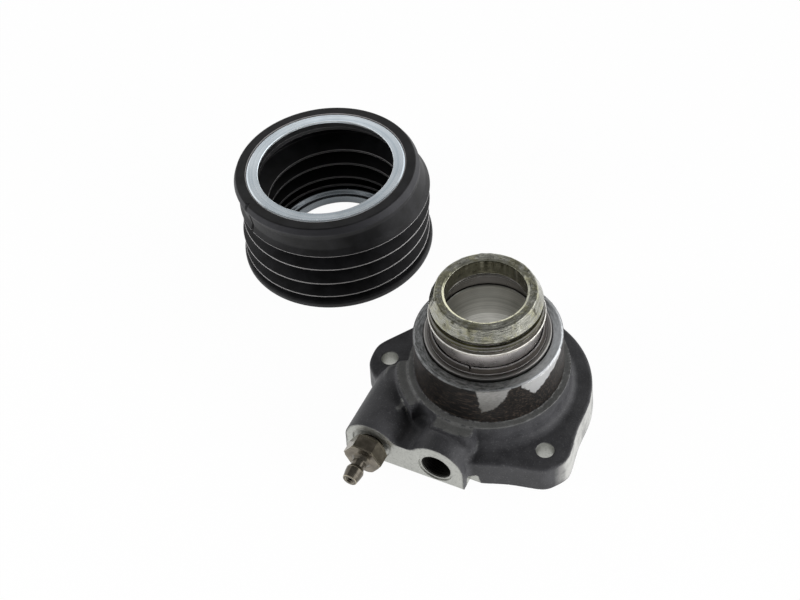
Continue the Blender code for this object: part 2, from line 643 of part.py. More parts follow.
def make_preload_spring(steel):
    """Round-wire coil whose first and last turns lie flat, centred between the sleeve and the bore."""
    wire = SPRING_WIRE / 2
    low = CHAMBER_FLOOR_Z + SEAT_GAP + wire
    high = SPREADER_BASE - SEAT_GAP - wire
    middle = (GUIDE_SLEEVE_RADIUS + BORE_RADIUS) / 2
    stations = round(SPRING_TURNS * SPRING_STATIONS_PER_TURN)
    share = np.linspace(0.0, 1.0, stations + 1)
    dead = 1.0 / SPRING_TURNS
    closed_rise = SPRING_WIRE * 1.08
    heights = np.interp(
        share, [0.0, dead, 1.0 - dead, 1.0], [low, low + closed_rise, high - closed_rise, high]
    )
    angles = 2 * math.pi * SPRING_TURNS * share
    form = bmesh.new()
    sides = 6
    rings = []
    for angle, height in zip(angles, heights):
        ring = []
        for side in range(sides):
            around = 2 * math.pi * side / sides
            radius = middle + wire * math.cos(around)
            z = height + wire * math.sin(around)
            ring.append(form.verts.new((radius * math.cos(angle), radius * math.sin(angle), z)))
        rings.append(ring)
    for ring, following in zip(rings, rings[1:]):
        for side in range(sides):
            after = (side + 1) % sides
            form.faces.new((ring[side], following[side], following[after], ring[after]))
    form.faces.new(rings[0])
    form.faces.new(rings[-1])
    object_from("preload_spring", form, steel)


def make_piston_seal(rubber, plastic):
    """Cup seal with its two lips down, spread by a wedge ring that sits on the spring."""
    inner, outer = PISTON_BORE_RADIUS, CYLINDER_FIT_RADIUS
    top = SEAL_BASE + SEAL_HEIGHT
    cup_roof = top - SEAL_HEIGHT * 0.4
    middle = (inner + outer) / 2
    bevel = SEAL_LIP / 3
    seal = [
        (inner, SEAL_BASE + bevel),
        (inner + bevel, SEAL_BASE),
        (inner + SEAL_LIP, SEAL_BASE),
        (middle - SEAL_LIP / 2, cup_roof),
        (middle + SEAL_LIP / 2, cup_roof),
        (outer - SEAL_LIP, SEAL_BASE),
        (outer - bevel, SEAL_BASE),
        (outer, SEAL_BASE + bevel),
        (outer - bevel, top),
        (inner + bevel, top),
    ]
    object_from("piston_seal", turn(seal, HIDDEN_FACETS), rubber)
    spreader_top = SPREADER_BASE + SPREADER_HEIGHT
    spreader = [
        (inner, SPREADER_BASE),
        (outer, SPREADER_BASE),
        (outer, spreader_top),
        (outer - SEAL_LIP - SEAT_GAP, spreader_top),
        (middle + SEAL_LIP / 4, cup_roof - 2 * SEAT_GAP),
        (middle - SEAL_LIP / 4, cup_roof - 2 * SEAT_GAP),
        (inner + SEAL_LIP + SEAT_GAP, spreader_top),
        (inner, spreader_top),
    ]
    object_from("seal_spreader_ring", turn(spreader, HIDDEN_FACETS), plastic)


def make_piston(steel, plastic):
    """Head that runs in the bore, thin sleeve through the stop ring, neck and crown under the collar."""
    band_z = PISTON_BASE + (PISTON_HEAD_LENGTH - GUIDE_BAND_HEIGHT) / 2
    band_bottom = CYLINDER_FIT_RADIUS - GUIDE_BAND_THICKNESS - SEAT_GAP
    snap_bottom = PISTON_SLEEVE_RADIUS - SNAP_RING_GROOVE
    land_edge = SEAT_GAP / 2
    profile = [
        (PISTON_BORE_RADIUS, PISTON_BASE),
        (CYLINDER_FIT_RADIUS, PISTON_BASE),
        (CYLINDER_FIT_RADIUS, band_z - SEAT_GAP),
        (band_bottom, band_z - SEAT_GAP),
        (band_bottom, band_z + GUIDE_BAND_HEIGHT + SEAT_GAP),
        (CYLINDER_FIT_RADIUS, band_z + GUIDE_BAND_HEIGHT + SEAT_GAP),
        (CYLINDER_FIT_RADIUS, PISTON_HEAD_TOP),
        (PISTON_SLEEVE_RADIUS, PISTON_HEAD_TOP),
        (PISTON_SLEEVE_RADIUS, SNAP_GROOVE_Z - land_edge),
        (PISTON_SLEEVE_RADIUS - land_edge, SNAP_GROOVE_Z),
        (snap_bottom, SNAP_GROOVE_Z),
        (snap_bottom, LAND_Z),
        (PISTON_SLEEVE_RADIUS, LAND_Z),
        (PISTON_SLEEVE_RADIUS, NECK_Z),
        (NECK_RADIUS, NECK_Z),
        (NECK_RADIUS, CROWN_TOP),
        (CROWN_BORE_RADIUS, CROWN_TOP),
        (CROWN_BORE_RADIUS, CROWN_UNDERSIDE),
        (PISTON_BORE_RADIUS, CROWN_UNDERSIDE),
    ]
    object_from("piston", turn(profile, FACETS), steel)
    band = [
        (band_bottom + SEAT_GAP, band_z),
        (CYLINDER_FIT_RADIUS, band_z),
        (CYLINDER_FIT_RADIUS, band_z + GUIDE_BAND_HEIGHT),
        (band_bottom + SEAT_GAP, band_z + GUIDE_BAND_HEIGHT),
    ]
    half_gap = GUIDE_BAND_GAP_DEGREES / 2
    guide_band = turn(band, HIDDEN_FACETS, half_gap, 360.0 - GUIDE_BAND_GAP_DEGREES)
    object_from("piston_guide_band", guide_band, plastic)


def make_stop_ring(steel, rubber):
    inner = PISTON_SLEEVE_RADIUS + SEAT_GAP
    outer = BORE_RADIUS - STOP_RING_SIDE_GAP
    edge = SEAT_GAP
    pocket_radius = outer - STOP_RING_RIM
    pocket_z = STOP_RING_TOP - WIPER_DEPTH
    wire_half = LOCK_WIRE_SECTION / 2 + SEAT_GAP
    groove = LOCK_WIRE_RADIUS - LOCK_WIRE_SECTION / 2 - SEAT_GAP
    profile = [
        (inner + edge, STOP_RING_Z),
        (outer, STOP_RING_Z),
        (outer, LOCK_WIRE_Z - wire_half),
        (groove, LOCK_WIRE_Z - wire_half),
        (groove, LOCK_WIRE_Z + wire_half),
        (outer, LOCK_WIRE_Z + wire_half),
        (outer, STOP_RING_TOP - edge),
        (outer - edge, STOP_RING_TOP),
        (pocket_radius, STOP_RING_TOP),
        (pocket_radius, pocket_z),
        (inner, pocket_z),
        (inner, STOP_RING_Z + edge),
    ]
    object_from("stop_ring", turn(profile, FACETS), steel)

    wire = ring_section(LOCK_WIRE_RADIUS, LOCK_WIRE_Z, LOCK_WIRE_SECTION)
    half_gap = LOCK_WIRE_GAP_DEGREES / 2
    lock_wire = turn(wire, HIDDEN_FACETS, half_gap, 360.0 - LOCK_WIRE_GAP_DEGREES)
    object_from("stop_ring_lock_wire", lock_wire, steel)

    wiper_out = pocket_radius - SEAT_GAP
    wiper_z = pocket_z + SEAT_GAP
    cone_foot = inner + WIPER_CONE_WIDTH
    wiper = [
        (inner, wiper_z),
        (wiper_out, wiper_z),
        (wiper_out, STOP_RING_TOP - edge),
        (wiper_out - edge, STOP_RING_TOP),
        (cone_foot, STOP_RING_TOP + edge / 2),
        (inner + WIPER_LIP_WIDTH, WIPER_TOP - edge / 2),
        (inner + WIPER_LIP_WIDTH / 2, WIPER_TOP),
        (inner, WIPER_TOP),
    ]
    scraper = object_from("wiper_seal", turn(wiper, FACETS), rubber)
    nick_half = math.radians(WIPER_NICK_DEGREES / 2)
    nick_in, nick_out = inner - SEAT_GAP, cone_foot
    nick_plan = [
        (nick_in * math.cos(nick_half), -nick_in * math.sin(nick_half)),
        (nick_out * math.cos(nick_half), -nick_out * math.sin(nick_half)),
        (nick_out * math.cos(nick_half), nick_out * math.sin(nick_half)),
        (nick_in * math.cos(nick_half), nick_in * math.sin(nick_half)),
    ]
    nick = object_from(
        "nick_form",
        stack(nick_plan, [(STOP_RING_TOP + 2 * edge, 0.0), (WIPER_TOP + edge, 0.0)]),
        rubber,
        rotation=(0.0, 0.0, math.radians(WIPER_NICK_DIRECTION)),
    )
    combine(scraper, nick, "DIFFERENCE")


def make_collar(collar_steel, steel, rubber):
    ring_bottom = PISTON_SLEEVE_RADIUS - SNAP_RING_GROOVE + SEAT_GAP
    ring_edge = SNAP_RING_THICKNESS / 4
    snap = [
        (ring_bottom, SNAP_RING_Z),
        (SNAP_RING_RADIUS - ring_edge, SNAP_RING_Z),
        (SNAP_RING_RADIUS, SNAP_RING_Z + ring_edge),
        (SNAP_RING_RADIUS, SNAP_RING_Z + SNAP_RING_THICKNESS - ring_edge),
        (SNAP_RING_RADIUS - ring_edge, SNAP_RING_Z + SNAP_RING_THICKNESS),
        (ring_bottom, SNAP_RING_Z + SNAP_RING_THICKNESS),
    ]
    from_degrees = SNAP_RING_GAP_DIRECTION + SNAP_RING_GAP_DEGREES / 2
    snap_ring = turn(snap, HIDDEN_FACETS, from_degrees, 360.0 - SNAP_RING_GAP_DEGREES)
    object_from("collar_snap_ring", snap_ring, steel)

    cushion_in = NECK_RADIUS + SEAT_GAP
    cushion_z = NECK_Z + SEAT_GAP
    round_edge = (CUSHION_RADIUS - cushion_in) / 3
    cushion_top = cushion_z + CUSHION_HEIGHT
    cushion = [
        (cushion_in, cushion_z),
        (CUSHION_RADIUS - round_edge, cushion_z),
        (CUSHION_RADIUS, cushion_z + round_edge),
        (CUSHION_RADIUS, cushion_top - round_edge),
        (CUSHION_RADIUS - round_edge, cushion_top),
        (cushion_in, cushion_top),
    ]
    object_from("collar_cushion_ring", turn(cushion, HIDDEN_FACETS), rubber)

    top = COLLAR_Z + COLLAR_HEIGHT
    foot = COLLAR_Z + COLLAR_SPIGOT_HEIGHT
    edge = COLLAR_EDGE
    collar = [
        (COLLAR_BORE_RADIUS + SEAT_GAP, COLLAR_Z),
        (COLLAR_SPIGOT_RADIUS, COLLAR_Z),
        (COLLAR_SPIGOT_RADIUS, foot),
        (COLLAR_RADIUS - edge / 2, foot),
        (COLLAR_RADIUS, foot + edge / 2),
        (COLLAR_TOP_RADIUS, top - edge),
        (COLLAR_TOP_RADIUS - edge * 0.4, top - edge * 0.3),
        (COLLAR_TOP_RADIUS - edge * 1.2, top),
        (COLLAR_BORE_RADIUS + edge * 1.2, top),
        (COLLAR_BORE_RADIUS + edge * 0.4, top - edge * 0.3),
        (COLLAR_BORE_RADIUS, top - edge),
        (COLLAR_BORE_RADIUS, COLLAR_Z + SEAT_GAP),
    ]
    object_from("thrust_collar", turn(collar, FACETS), collar_steel)


def make_bleed_screw(steel):
    """Threaded shank with a cone seat, chamfered hexagon, neck and barbed nipple, drilled down its axis."""
    hex_from = HEX_STAND_OFF
    hex_to = hex_from + HEX_LENGTH
    neck_to = hex_to + NECK_LENGTH
    tip = neck_to + BARB_LENGTH
    cone = -BLEED_THREAD_LENGTH
    relief = BLEED_THREAD_RADIUS * 0.86
    washer_radius = HEX_ACROSS_FLATS * 0.49
    body = [
        (0.0, cone - BLEED_THREAD_RADIUS * 0.9),
        (relief, cone),
        (BLEED_THREAD_RADIUS, cone + SEAT_GAP),
        (BLEED_THREAD_RADIUS, -HEX_STAND_OFF),
        (relief, -WASHER_FACE),
        (relief, hex_from - WASHER_FACE),
        (washer_radius, hex_from - WASHER_FACE),
        (washer_radius, hex_to),
        (BLEED_NECK_RADIUS * 1.35, hex_to + NECK_LENGTH * 0.15),
        (BLEED_NECK_RADIUS, hex_to + NECK_LENGTH * 0.4),
        (BLEED_NECK_RADIUS, neck_to),
        (BARB_RADIUS * 0.93, neck_to + BARB_LENGTH * 0.10),
        (BARB_RADIUS, neck_to + BARB_LENGTH * 0.24),
        (BARB_RADIUS * 0.97, neck_to + BARB_LENGTH * 0.5),
        (BARB_RADIUS * 0.87, neck_to + BARB_LENGTH * 0.93),
        (BARB_RADIUS * 0.80, tip),
        (0.0, tip),
    ]
    screw = along_port_axis("bleed_screw", turn(body, SMALL_FACETS), steel, BLEEDER_X, BLEEDER_Z)
    corner = HEX_ACROSS_FLATS / math.sqrt(3.0)
    hexagon = turn([(0.0, hex_from), (corner, hex_from), (corner, hex_to), (0.0, hex_to)], 6, HEX_TURN)
    hexagon = along_port_axis("hexagon_form", hexagon, steel, BLEEDER_X, BLEEDER_Z)
    chamfer = corner - HEX_ACROSS_FLATS / 2
    rounding = [
        (0.0, hex_from),
        (corner - chamfer * 0.7, hex_from),
        (corner, hex_from + chamfer * 0.5),
        (corner, hex_to - chamfer * 0.6),
        (corner - chamfer * 1.1, hex_to),
        (0.0, hex_to),
    ]
    hex_chamfer = along_port_axis(
        "hexagon_chamfer", turn(rounding, SMALL_FACETS), steel, BLEEDER_X, BLEEDER_Z
    )
    combine(hexagon, hex_chamfer, "INTERSECT")
    combine(screw, hexagon, "UNION")
    bore_end = cone + BLEED_THREAD_RADIUS / 2
    bore = [
        (0.0, bore_end),
        (BLEED_BORE_RADIUS, bore_end),
        (BLEED_BORE_RADIUS, tip - BLEED_BORE_RADIUS * 0.5),
        (BLEED_BORE_RADIUS * 1.5, tip + SEAT_GAP),
        (0.0, tip + SEAT_GAP),
    ]
    bore = along_port_axis("bleed_screw_drill", turn(bore, 12), steel, BLEEDER_X, BLEEDER_Z)
    combine(screw, bore, "DIFFERENCE")
    cross_y = PORT_FACE_Y - bore_end - 2 * BLEED_CROSS_HOLE_RADIUS
    reach = 2 * BLEED_THREAD_RADIUS
    cross = rod_between(
        "cross_hole_drill",
        (BLEEDER_X, cross_y, BLEEDER_Z - reach),
        (BLEEDER_X, cross_y, BLEEDER_Z + reach),
        BLEED_CROSS_HOLE_RADIUS,
        steel,
    )
    combine(screw, cross, "DIFFERENCE")
    return screw


def fold_heights():
    """Heights of the boot's ridges, top first."""
    return [BOOT_TOP_RIDGE_Z - fold * BOOT_FOLD_PITCH for fold in range(BOOT_FOLDS)]


def boot_profile():
    """Bellows wall: rounded lip round the top ring, V folds, and the bead that grips the base ring."""
    tip = BOOT_FOLD_WALL / 4
    seat_z = BOOT_HEIGHT - BOOT_RING_THICKNESS - SEAT_GAP
    ring_wall = BOOT_RING_RADIUS + SEAT_GAP
    lip_z = BOOT_HEIGHT - BOOT_LIP_DROP
    ridges = fold_heights()
    half_pitch = BOOT_FOLD_PITCH / 2
    bead_top = BOOT_BEAD_HEIGHT
    last_valley = (ridges[-1] + bead_top) / 2
    ledge = BOOT_RING_BORE_RADIUS + BOOT_RING_THICKNESS

    outside = [
        (ring_wall, BOOT_HEIGHT),
        (BOOT_LIP_RADIUS - BOOT_LIP_DROP * 0.8, BOOT_HEIGHT - BOOT_LIP_DROP * 0.1),
        (BOOT_LIP_RADIUS - BOOT_LIP_DROP * 0.25, BOOT_HEIGHT - BOOT_LIP_DROP * 0.4),
        (BOOT_LIP_RADIUS, lip_z),
        (BOOT_LIP_RADIUS - tip / 4, lip_z - BOOT_LIP_DROP),
        (BOOT_TOP_RIDGE_RADIUS - tip, ridges[0] + 2.5 * tip),
    ]
    for fold, ridge_z in enumerate(ridges):
        radius = BOOT_TOP_RIDGE_RADIUS if fold == 0 else BOOT_RIDGE_RADIUS
        valley_z = ridge_z - half_pitch if fold < BOOT_FOLDS - 1 else last_valley
        outside += [
            (radius, ridge_z + tip / 2),
            (radius, ridge_z - tip / 2),
            (BOOT_VALLEY_RADIUS, valley_z),
        ]
    outside += [
        (BOOT_BEAD_RADIUS - tip, bead_top),
        (BOOT_BEAD_RADIUS, bead_top * 0.7),
        (BOOT_BEAD_RADIUS, bead_top * 0.25),
        (BOOT_BEAD_RADIUS - tip, 0.0),
        (BOOT_BEAD_BORE_RADIUS, 0.0),
    ]
    rim_z = BASE_RING_THICKNESS + SEAT_GAP
    inside = [
        (BOOT_BEAD_BORE_RADIUS, rim_z - SEAT_GAP),
        (BASE_RING_RADIUS + SEAT_GAP, rim_z - SEAT_GAP),
        (BASE_RING_RADIUS + SEAT_GAP, rim_z + BASE_RING_THICKNESS + SEAT_GAP),
        (BOOT_BEAD_BORE_RADIUS, rim_z + BASE_RING_THICKNESS + SEAT_GAP),
    ]
    for fold, ridge_z in reversed(list(enumerate(ridges))):
        radius = (BOOT_TOP_RIDGE_RADIUS if fold == 0 else BOOT_RIDGE_RADIUS) - BOOT_FOLD_WALL
        if fold == BOOT_FOLDS - 1:
            inside.append((BOOT_VALLEY_RADIUS - BOOT_FOLD_WALL + tip, last_valley + tip))
        else:
            inside += [
                (BOOT_VALLEY_RADIUS - BOOT_FOLD_WALL, ridge_z - half_pitch - tip / 3),
                (BOOT_VALLEY_RADIUS - BOOT_FOLD_WALL, ridge_z - half_pitch + tip / 3),
            ]
        inside.append((radius, ridge_z))
    inside += [
        (BOOT_LIP_RADIUS - BOOT_FOLD_WALL, lip_z - 2 * BOOT_LIP_DROP),
        (ledge, lip_z - BOOT_LIP_DROP * 0.7),
        (ledge, seat_z),
        (ring_wall, seat_z),
    ]
    return outside + inside


def base_ring_profile():
    """Dished ring: flat rim in the bead, rolled hump, then a collar turned down round the hole."""
    rim_z = BASE_RING_THICKNESS + SEAT_GAP
    sheet = BASE_RING_THICKNESS
    hump_half = BOOT_BEAD_BORE_RADIUS - BASE_RING_HUMP_RADIUS - SEAT_GAP
    hump = [
        (BASE_RING_HUMP_RADIUS + hump_half * s, rim_z + BASE_RING_HUMP * math.cos(s * math.pi / 2) ** 2)
        for s in np.linspace(1.0, -1.0, 5)
    ]
    middle = [(BASE_RING_RADIUS, rim_z), *hump, (BASE_RING_BEND_RADIUS, rim_z)]
    top = [(r, z + sheet) for r, z in middle]
    collar_tip = SEAT_GAP
    collar = [
        (BASE_RING_BEND_RADIUS - sheet, rim_z + sheet * 0.6),
        (BASE_RING_BORE_RADIUS, collar_tip),
        (BASE_RING_BORE_RADIUS + sheet, collar_tip),
    ]
    return top + collar + middle[::-1]


def make_boot(rubber, zinc):
    stand = (BOOT_X, BOOT_Y, 0.0)
    object_from("boot", turn(boot_profile(), BOOT_FACETS), rubber, stand)
    ring_z = BOOT_HEIGHT - BOOT_RING_THICKNESS
    bevel = BOOT_RING_THICKNESS / 4
    top_ring = [
        (BOOT_RING_BORE_RADIUS, ring_z),
        (BOOT_RING_RADIUS, ring_z),
        (BOOT_RING_RADIUS, BOOT_HEIGHT - bevel),
        (BOOT_RING_RADIUS - bevel, BOOT_HEIGHT),
        (BOOT_RING_BORE_RADIUS + bevel, BOOT_HEIGHT),
        (BOOT_RING_BORE_RADIUS, BOOT_HEIGHT - bevel),
    ]
    object_from("boot_top_ring", turn(top_ring, BOOT_FACETS), zinc, stand)
    object_from("boot_base_ring", turn(base_ring_profile(), HIDDEN_FACETS), zinc, stand)


def main():
    clear_scene()
    cast = make_material("cast housing", (0.045, 0.047, 0.052), 0.55, 0.3)
    helper = make_material("helper", (0.4, 0.4, 0.4), 0.5, 0.0)
    polished = make_material("polished steel", (0.60, 0.57, 0.56), 0.22, 1.0)
    greased = make_material("greased steel", (0.46, 0.46, 0.36), 0.25, 0.8)
    dark_steel = make_material("blackened steel", (0.10, 0.085, 0.07), 0.35, 0.9)
    zinc = make_material("zinc plate", (0.62, 0.69, 0.75), 0.25, 1.0)
    rubber = make_material("black rubber", (0.015, 0.015, 0.016), 0.45, 0.0)
    plastic = make_material("slide plastic", (0.08, 0.07, 0.06), 0.5, 0.0)

    make_housing(cast, helper)
    make_guide_sleeve(polished)
    make_circlip(dark_steel)
    make_seals(rubber)
    make_preload_spring(dark_steel)
    make_piston_seal(rubber, plastic)
    make_piston(polished, plastic)
    make_stop_ring(polished, rubber)
    make_collar(greased, polished, rubber)
    make_bleed_screw(dark_steel)
    make_boot(rubber, zinc)


main()
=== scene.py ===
"""Looks of the concentric clutch slave cylinder, with its boot taken off and standing beside it.

Metres. The cylinder's axis is Z, its mounting face lies at z = 0 and the ports face -Y. A round piece is
a closed outline of (radius, height) turned round its axis, and the casting is the zero level of a
distance formula. Sizes that the frame holds are read from it, and the rest are named below.
"""

import functools
import math

import bpy
import numpy as np
from mathutils import Matrix, Vector


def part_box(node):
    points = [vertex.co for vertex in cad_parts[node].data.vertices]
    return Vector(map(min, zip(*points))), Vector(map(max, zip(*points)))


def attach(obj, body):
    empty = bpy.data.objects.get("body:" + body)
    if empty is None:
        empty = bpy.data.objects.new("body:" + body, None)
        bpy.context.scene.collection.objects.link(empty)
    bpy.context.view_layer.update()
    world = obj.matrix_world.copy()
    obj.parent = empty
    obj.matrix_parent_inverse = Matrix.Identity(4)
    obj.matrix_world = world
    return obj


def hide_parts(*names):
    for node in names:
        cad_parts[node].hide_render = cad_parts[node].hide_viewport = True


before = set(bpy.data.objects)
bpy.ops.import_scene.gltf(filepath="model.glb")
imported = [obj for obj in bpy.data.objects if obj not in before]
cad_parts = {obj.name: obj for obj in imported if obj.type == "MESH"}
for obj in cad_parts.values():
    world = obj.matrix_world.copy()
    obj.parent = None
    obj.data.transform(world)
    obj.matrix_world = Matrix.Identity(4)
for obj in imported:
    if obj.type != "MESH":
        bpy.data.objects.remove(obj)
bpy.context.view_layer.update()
MM = 0.001


def top_of(node):
    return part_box(node)[1][2]


def foot_of(node):
    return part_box(node)[0][2]


def radius_of(node):
    return (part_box(node)[1][0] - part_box(node)[0][0]) / 2


def span(node):
    """Foot and top of a node, in mm."""
    return foot_of(node) / MM, top_of(node) / MM


# View of the photograph
CAMERA_PLACE = (0.12529, -0.26564, 0.38044)
CAMERA_RIGHT = (0.89618, 0.43612, -0.08117)
CAMERA_UP = (-0.27491, 0.68961, 0.66990)
FOCAL_PIXELS = 1257.72
IMAGE_WIDTH = 800
SENSOR_WIDTH = 36.0
BACKDROP, OVERHEAD = 0.95, 0.2  # strengths of the surround, as reflections and shadows meet it
BACKDROP_TOP = 0.655  # sine of the height in the sky where the backdrop ends
CAMERA_SIDE = (0.425, -0.905, 0.0)  # the backdrop is darker towards this side
WHITE = (1.0, 1.0, 1.0, 1.0)
LIT_MIDDLE = (-0.04, 0.02, 0.02)
# Each lamp: name, place, width in metres, and watts
LAMPS = (("left", (-0.7, -0.55, 0.28), 0.5, 7.0), ("right", (0.9, -0.1, 0.16), 0.4, 14.0))

# Each piece: its body, the node that it takes the place of, and its material slot
PIECES = {
    "housing_casting": ("root", "housing", "cast_housing"),
    "guide_sleeve_tube": ("root", "guide_sleeve", "polished_steel"),
    "stop_ring_body": ("root", "stop_ring", "polished_steel"),
    "wiper_seal_ring": ("root", "wiper_seal", "seal_rubber"),
    "piston_turned": ("piston_group", "piston", "polished_steel"),
    "thrust_collar_ring": ("piston_group", "thrust_collar", "greased_steel"),
    "snap_ring_clip": ("piston_group", "collar_snap_ring", "polished_steel"),
    "cushion_ring": ("piston_group", "collar_cushion_ring", "seal_rubber"),
    "bleed_screw_body": ("bleed_screw_group", "bleed_screw", "blackened_steel"),
    "inlet_thread": ("root", None, "cast_housing"),
    "boot_bellows": ("root", "boot", "boot_rubber"),
    "boot_ring_upper": ("root", "boot_top_ring", "zinc_plate"),
    "boot_ring_lower": ("root", "boot_base_ring", "zinc_plate"),
}

# Casting
CAST_TOP = top_of("housing")
PAST = CAST_TOP + 5 * MM  # far enough to cut clear through
FLANGE_RADIUS = 37.9 * MM
FLANGE_THICKNESS = 11.0 * MM
BOLT_HOLE_RADIUS = 3.3 * MM
CAST_DRAFT = 0.6 * MM
CAST_EDGE = 0.8 * MM
OUTLINE_BLEND = 0.9 * MM
# Each ear: direction in degrees, bolt hole's distance, reach, turn and distance of its straight sides
EARS = (
    (-35.4, 37.6 * MM, 45.6 * MM, 44.3, 36.1 * MM),
    (186.6, 39.8 * MM, 47.0 * MM, 42.0, 38.4 * MM),
    (89.0, 38.0 * MM, 45.8 * MM, 87.0, 9.2 * MM),
)
BOSS_FOOT_RADIUS = 27.5 * MM
BOSS_TOP_RADIUS = 27.0 * MM
LIP_RADIUS = 26.3 * MM
LIP_HEIGHT = 0.6 * MM
RIM_RADIUS = 29.8 * MM
RIM_TOP = 21.3 * MM
SHOULDER_HEIGHT = 20.7 * MM
SHOULDER_RADIUS = 34.4 * MM
SHOULDER_FROM, SHOULDER_TO = -161.0, -77.0
STEP_HEIGHT = 17.6 * MM
STEP_RADIUS = 38.4 * MM
STEP_TO = -128.0
# Each pad of the shoulder: its height, radius and the direction where it ends
PADS = ((SHOULDER_HEIGHT, SHOULDER_RADIUS, SHOULDER_TO), (STEP_HEIGHT, STEP_RADIUS, STEP_TO))
FOOT_FILLET = 3.2 * MM
PORT_FACE_Y = -41.7 * MM
PORT_BLOCK_BACK_Y = -15.0 * MM
INLET_X, INLET_Z = -3.4 * MM, 7.2 * MM
INLET_LOBE_RADIUS = 11.0 * MM
BLEEDER_X, BLEEDER_Z = -29.1 * MM, 8.4 * MM
BLEEDER_LOBE_RADIUS = 10.5 * MM
BLEEDER_FOOT_FLARE = 0.6 * MM
BLEEDER_BOSS_END_Y = -8.5 * MM
VALLEY_Z = 13.0 * MM
VALLEY_FILLET = 5.0 * MM
POCKET_X, POCKET_END_Y = -13.2 * MM, -26.6 * MM
POCKET_HALF_WIDTH = 4.4 * MM
RELIEF_WIDTH, RELIEF_HEIGHT = 4.6 * MM, 3.8 * MM
INLET_HOLE_RADIUS = 5.75 * MM
INLET_DEPTH = 13.0 * MM
INLET_SPOT_RADIUS = 6.7 * MM
BLEED_HOLE_RADIUS = 4.9 * MM
BORE_RADIUS = radius_of("stop_ring") + 0.3 * MM
INLET_PITCH = 1.0 * MM
PASSAGE_RADIUS = 1.0 * MM
WIPER_NICK_DIRECTION, WIPER_NICK_DEGREES = 276.0, 2.6
SNAP_GAP_DIRECTION, SNAP_GAP_DEGREES = 100.0, 9.0
SPOT_DEPTH = 0.5 * MM
BLEED_SPOT_RADIUS = 7.4 * MM
HEX_TURN = -6.0
BLEED_DEPTH = 15.0 * MM
RELIEF_DEPTH = 1.2 * MM
FACE_SEAL_SECTION = 2.0 * MM
NECK_BORE_RADIUS = 17.3 * MM
LIP_CHAMFER = 0.15 * MM
SEAT_GAP = 0.3 * MM
NET_SPACING = 0.6 * MM

# Boot
BOOT_CENTRE = (-94.2 * MM, 54.8 * MM)
BOOT_LEAN_TOWARDS = (0.896, 0.436)
SLIT_DIRECTION, SLIT_FOOT = 240.0, 26.0 * MM
# The soft wall leans: heights in mm and how far the wall there has moved
BOOT_LEAN = ((0.0, -0.1), (6.5, -0.2), (14.7, 0.1), (22.9, 1.4), (31.1, 1.4), (39.7, -0.8), (42.2, -0.9))

# Places where the boss's black coat is rubbed off, as directions in degrees and heights in mm
BARE_PATCHES = (
    ((-75.5, 38.7), (-49.0, 38.7), (-53.5, 34.8), (-62.4, 28.5), (-71.9, 27.1), (-74.6, 35.7)),
    (
        (-42.5, 39.6), (-40.6, 37.1), (-36.2, 34.6), (-29.5, 30.6), (-20.5, 33.2), (-9.4, 35.6),
        (4.7, 38.0), (7.0, 39.6),
    ),
)
BARE_SCALE = math.radians(27.0 * MM)


def linear(red, green, blue):
    """Scene colour of a colour given as 0 to 255 on screen."""
    screen = np.array([red, green, blue]) / 255.0
    low = screen / 12.92
    high = ((screen + 0.055) / 1.055) ** 2.4
    return (*np.where(screen <= 0.04045, low, high).tolist(), 1.0)


# Meshes from formulas


def grid_quads(rows, columns, wrap_rows=True):
    """Corner numbers of every cell of a rows by columns grid of points, closed across its columns."""
    number = np.arange(rows * columns).reshape(rows, columns)
    if wrap_rows:
        number = np.concatenate([number, number[:1]], axis=0)
    number = np.concatenate([number, number[:, :1]], axis=1)
    cells = [number[:-1, :-1], number[1:, :-1], number[1:, 1:], number[:-1, 1:]]
    return np.stack(cells, axis=-1).reshape(-1, 4)


def enclosed_volume(points, quads):
    """Sum of the signed tetrahedra from the origin to each half of each quad."""
    a, b, c, d = (points[quads[:, corner]] for corner in range(4))
    halves = np.einsum("ij,ij->i", a, np.cross(b, c)) + np.einsum("ij,ij->i", a, np.cross(c, d))
    return halves.sum() / 6.0


def add_piece(name, points, quads, material, marks=None, crease=38.0):
    """Puts a closed quad surface into a mesh, turned outwards, and hangs it in its place."""
    points = np.asarray(points, float).reshape(-1, 3)
    if enclosed_volume(points, quads) < 0.0:
        quads = quads[:, ::-1]
    mesh = bpy.data.meshes.new(name)
    mesh.vertices.add(len(points))
    mesh.vertices.foreach_set("co", points.ravel())
    mesh.loops.add(quads.size)
    mesh.loops.foreach_set("vertex_index", quads.ravel().astype(np.int32))
    mesh.polygons.add(len(quads))
    mesh.polygons.foreach_set("loop_start", np.arange(0, quads.size, 4, dtype=np.int32))
    for label, values in (marks or {}).items():
        layer = mesh.attributes.new(label, "FLOAT", "POINT")
        layer.data.foreach_set("value", np.asarray(values, np.float32).ravel())
    mesh.update(calc_edges=True)
    mesh.validate()
    mesh.shade_smooth()
    mesh.set_sharp_from_angle(angle=math.radians(crease))
    mesh.materials.append(material)
    piece = bpy.data.objects.new(name, mesh)
    bpy.context.scene.collection.objects.link(piece)
    body, node, slot = PIECES[name]
    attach(piece, body)
    if node:
        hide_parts(node)
    return piece


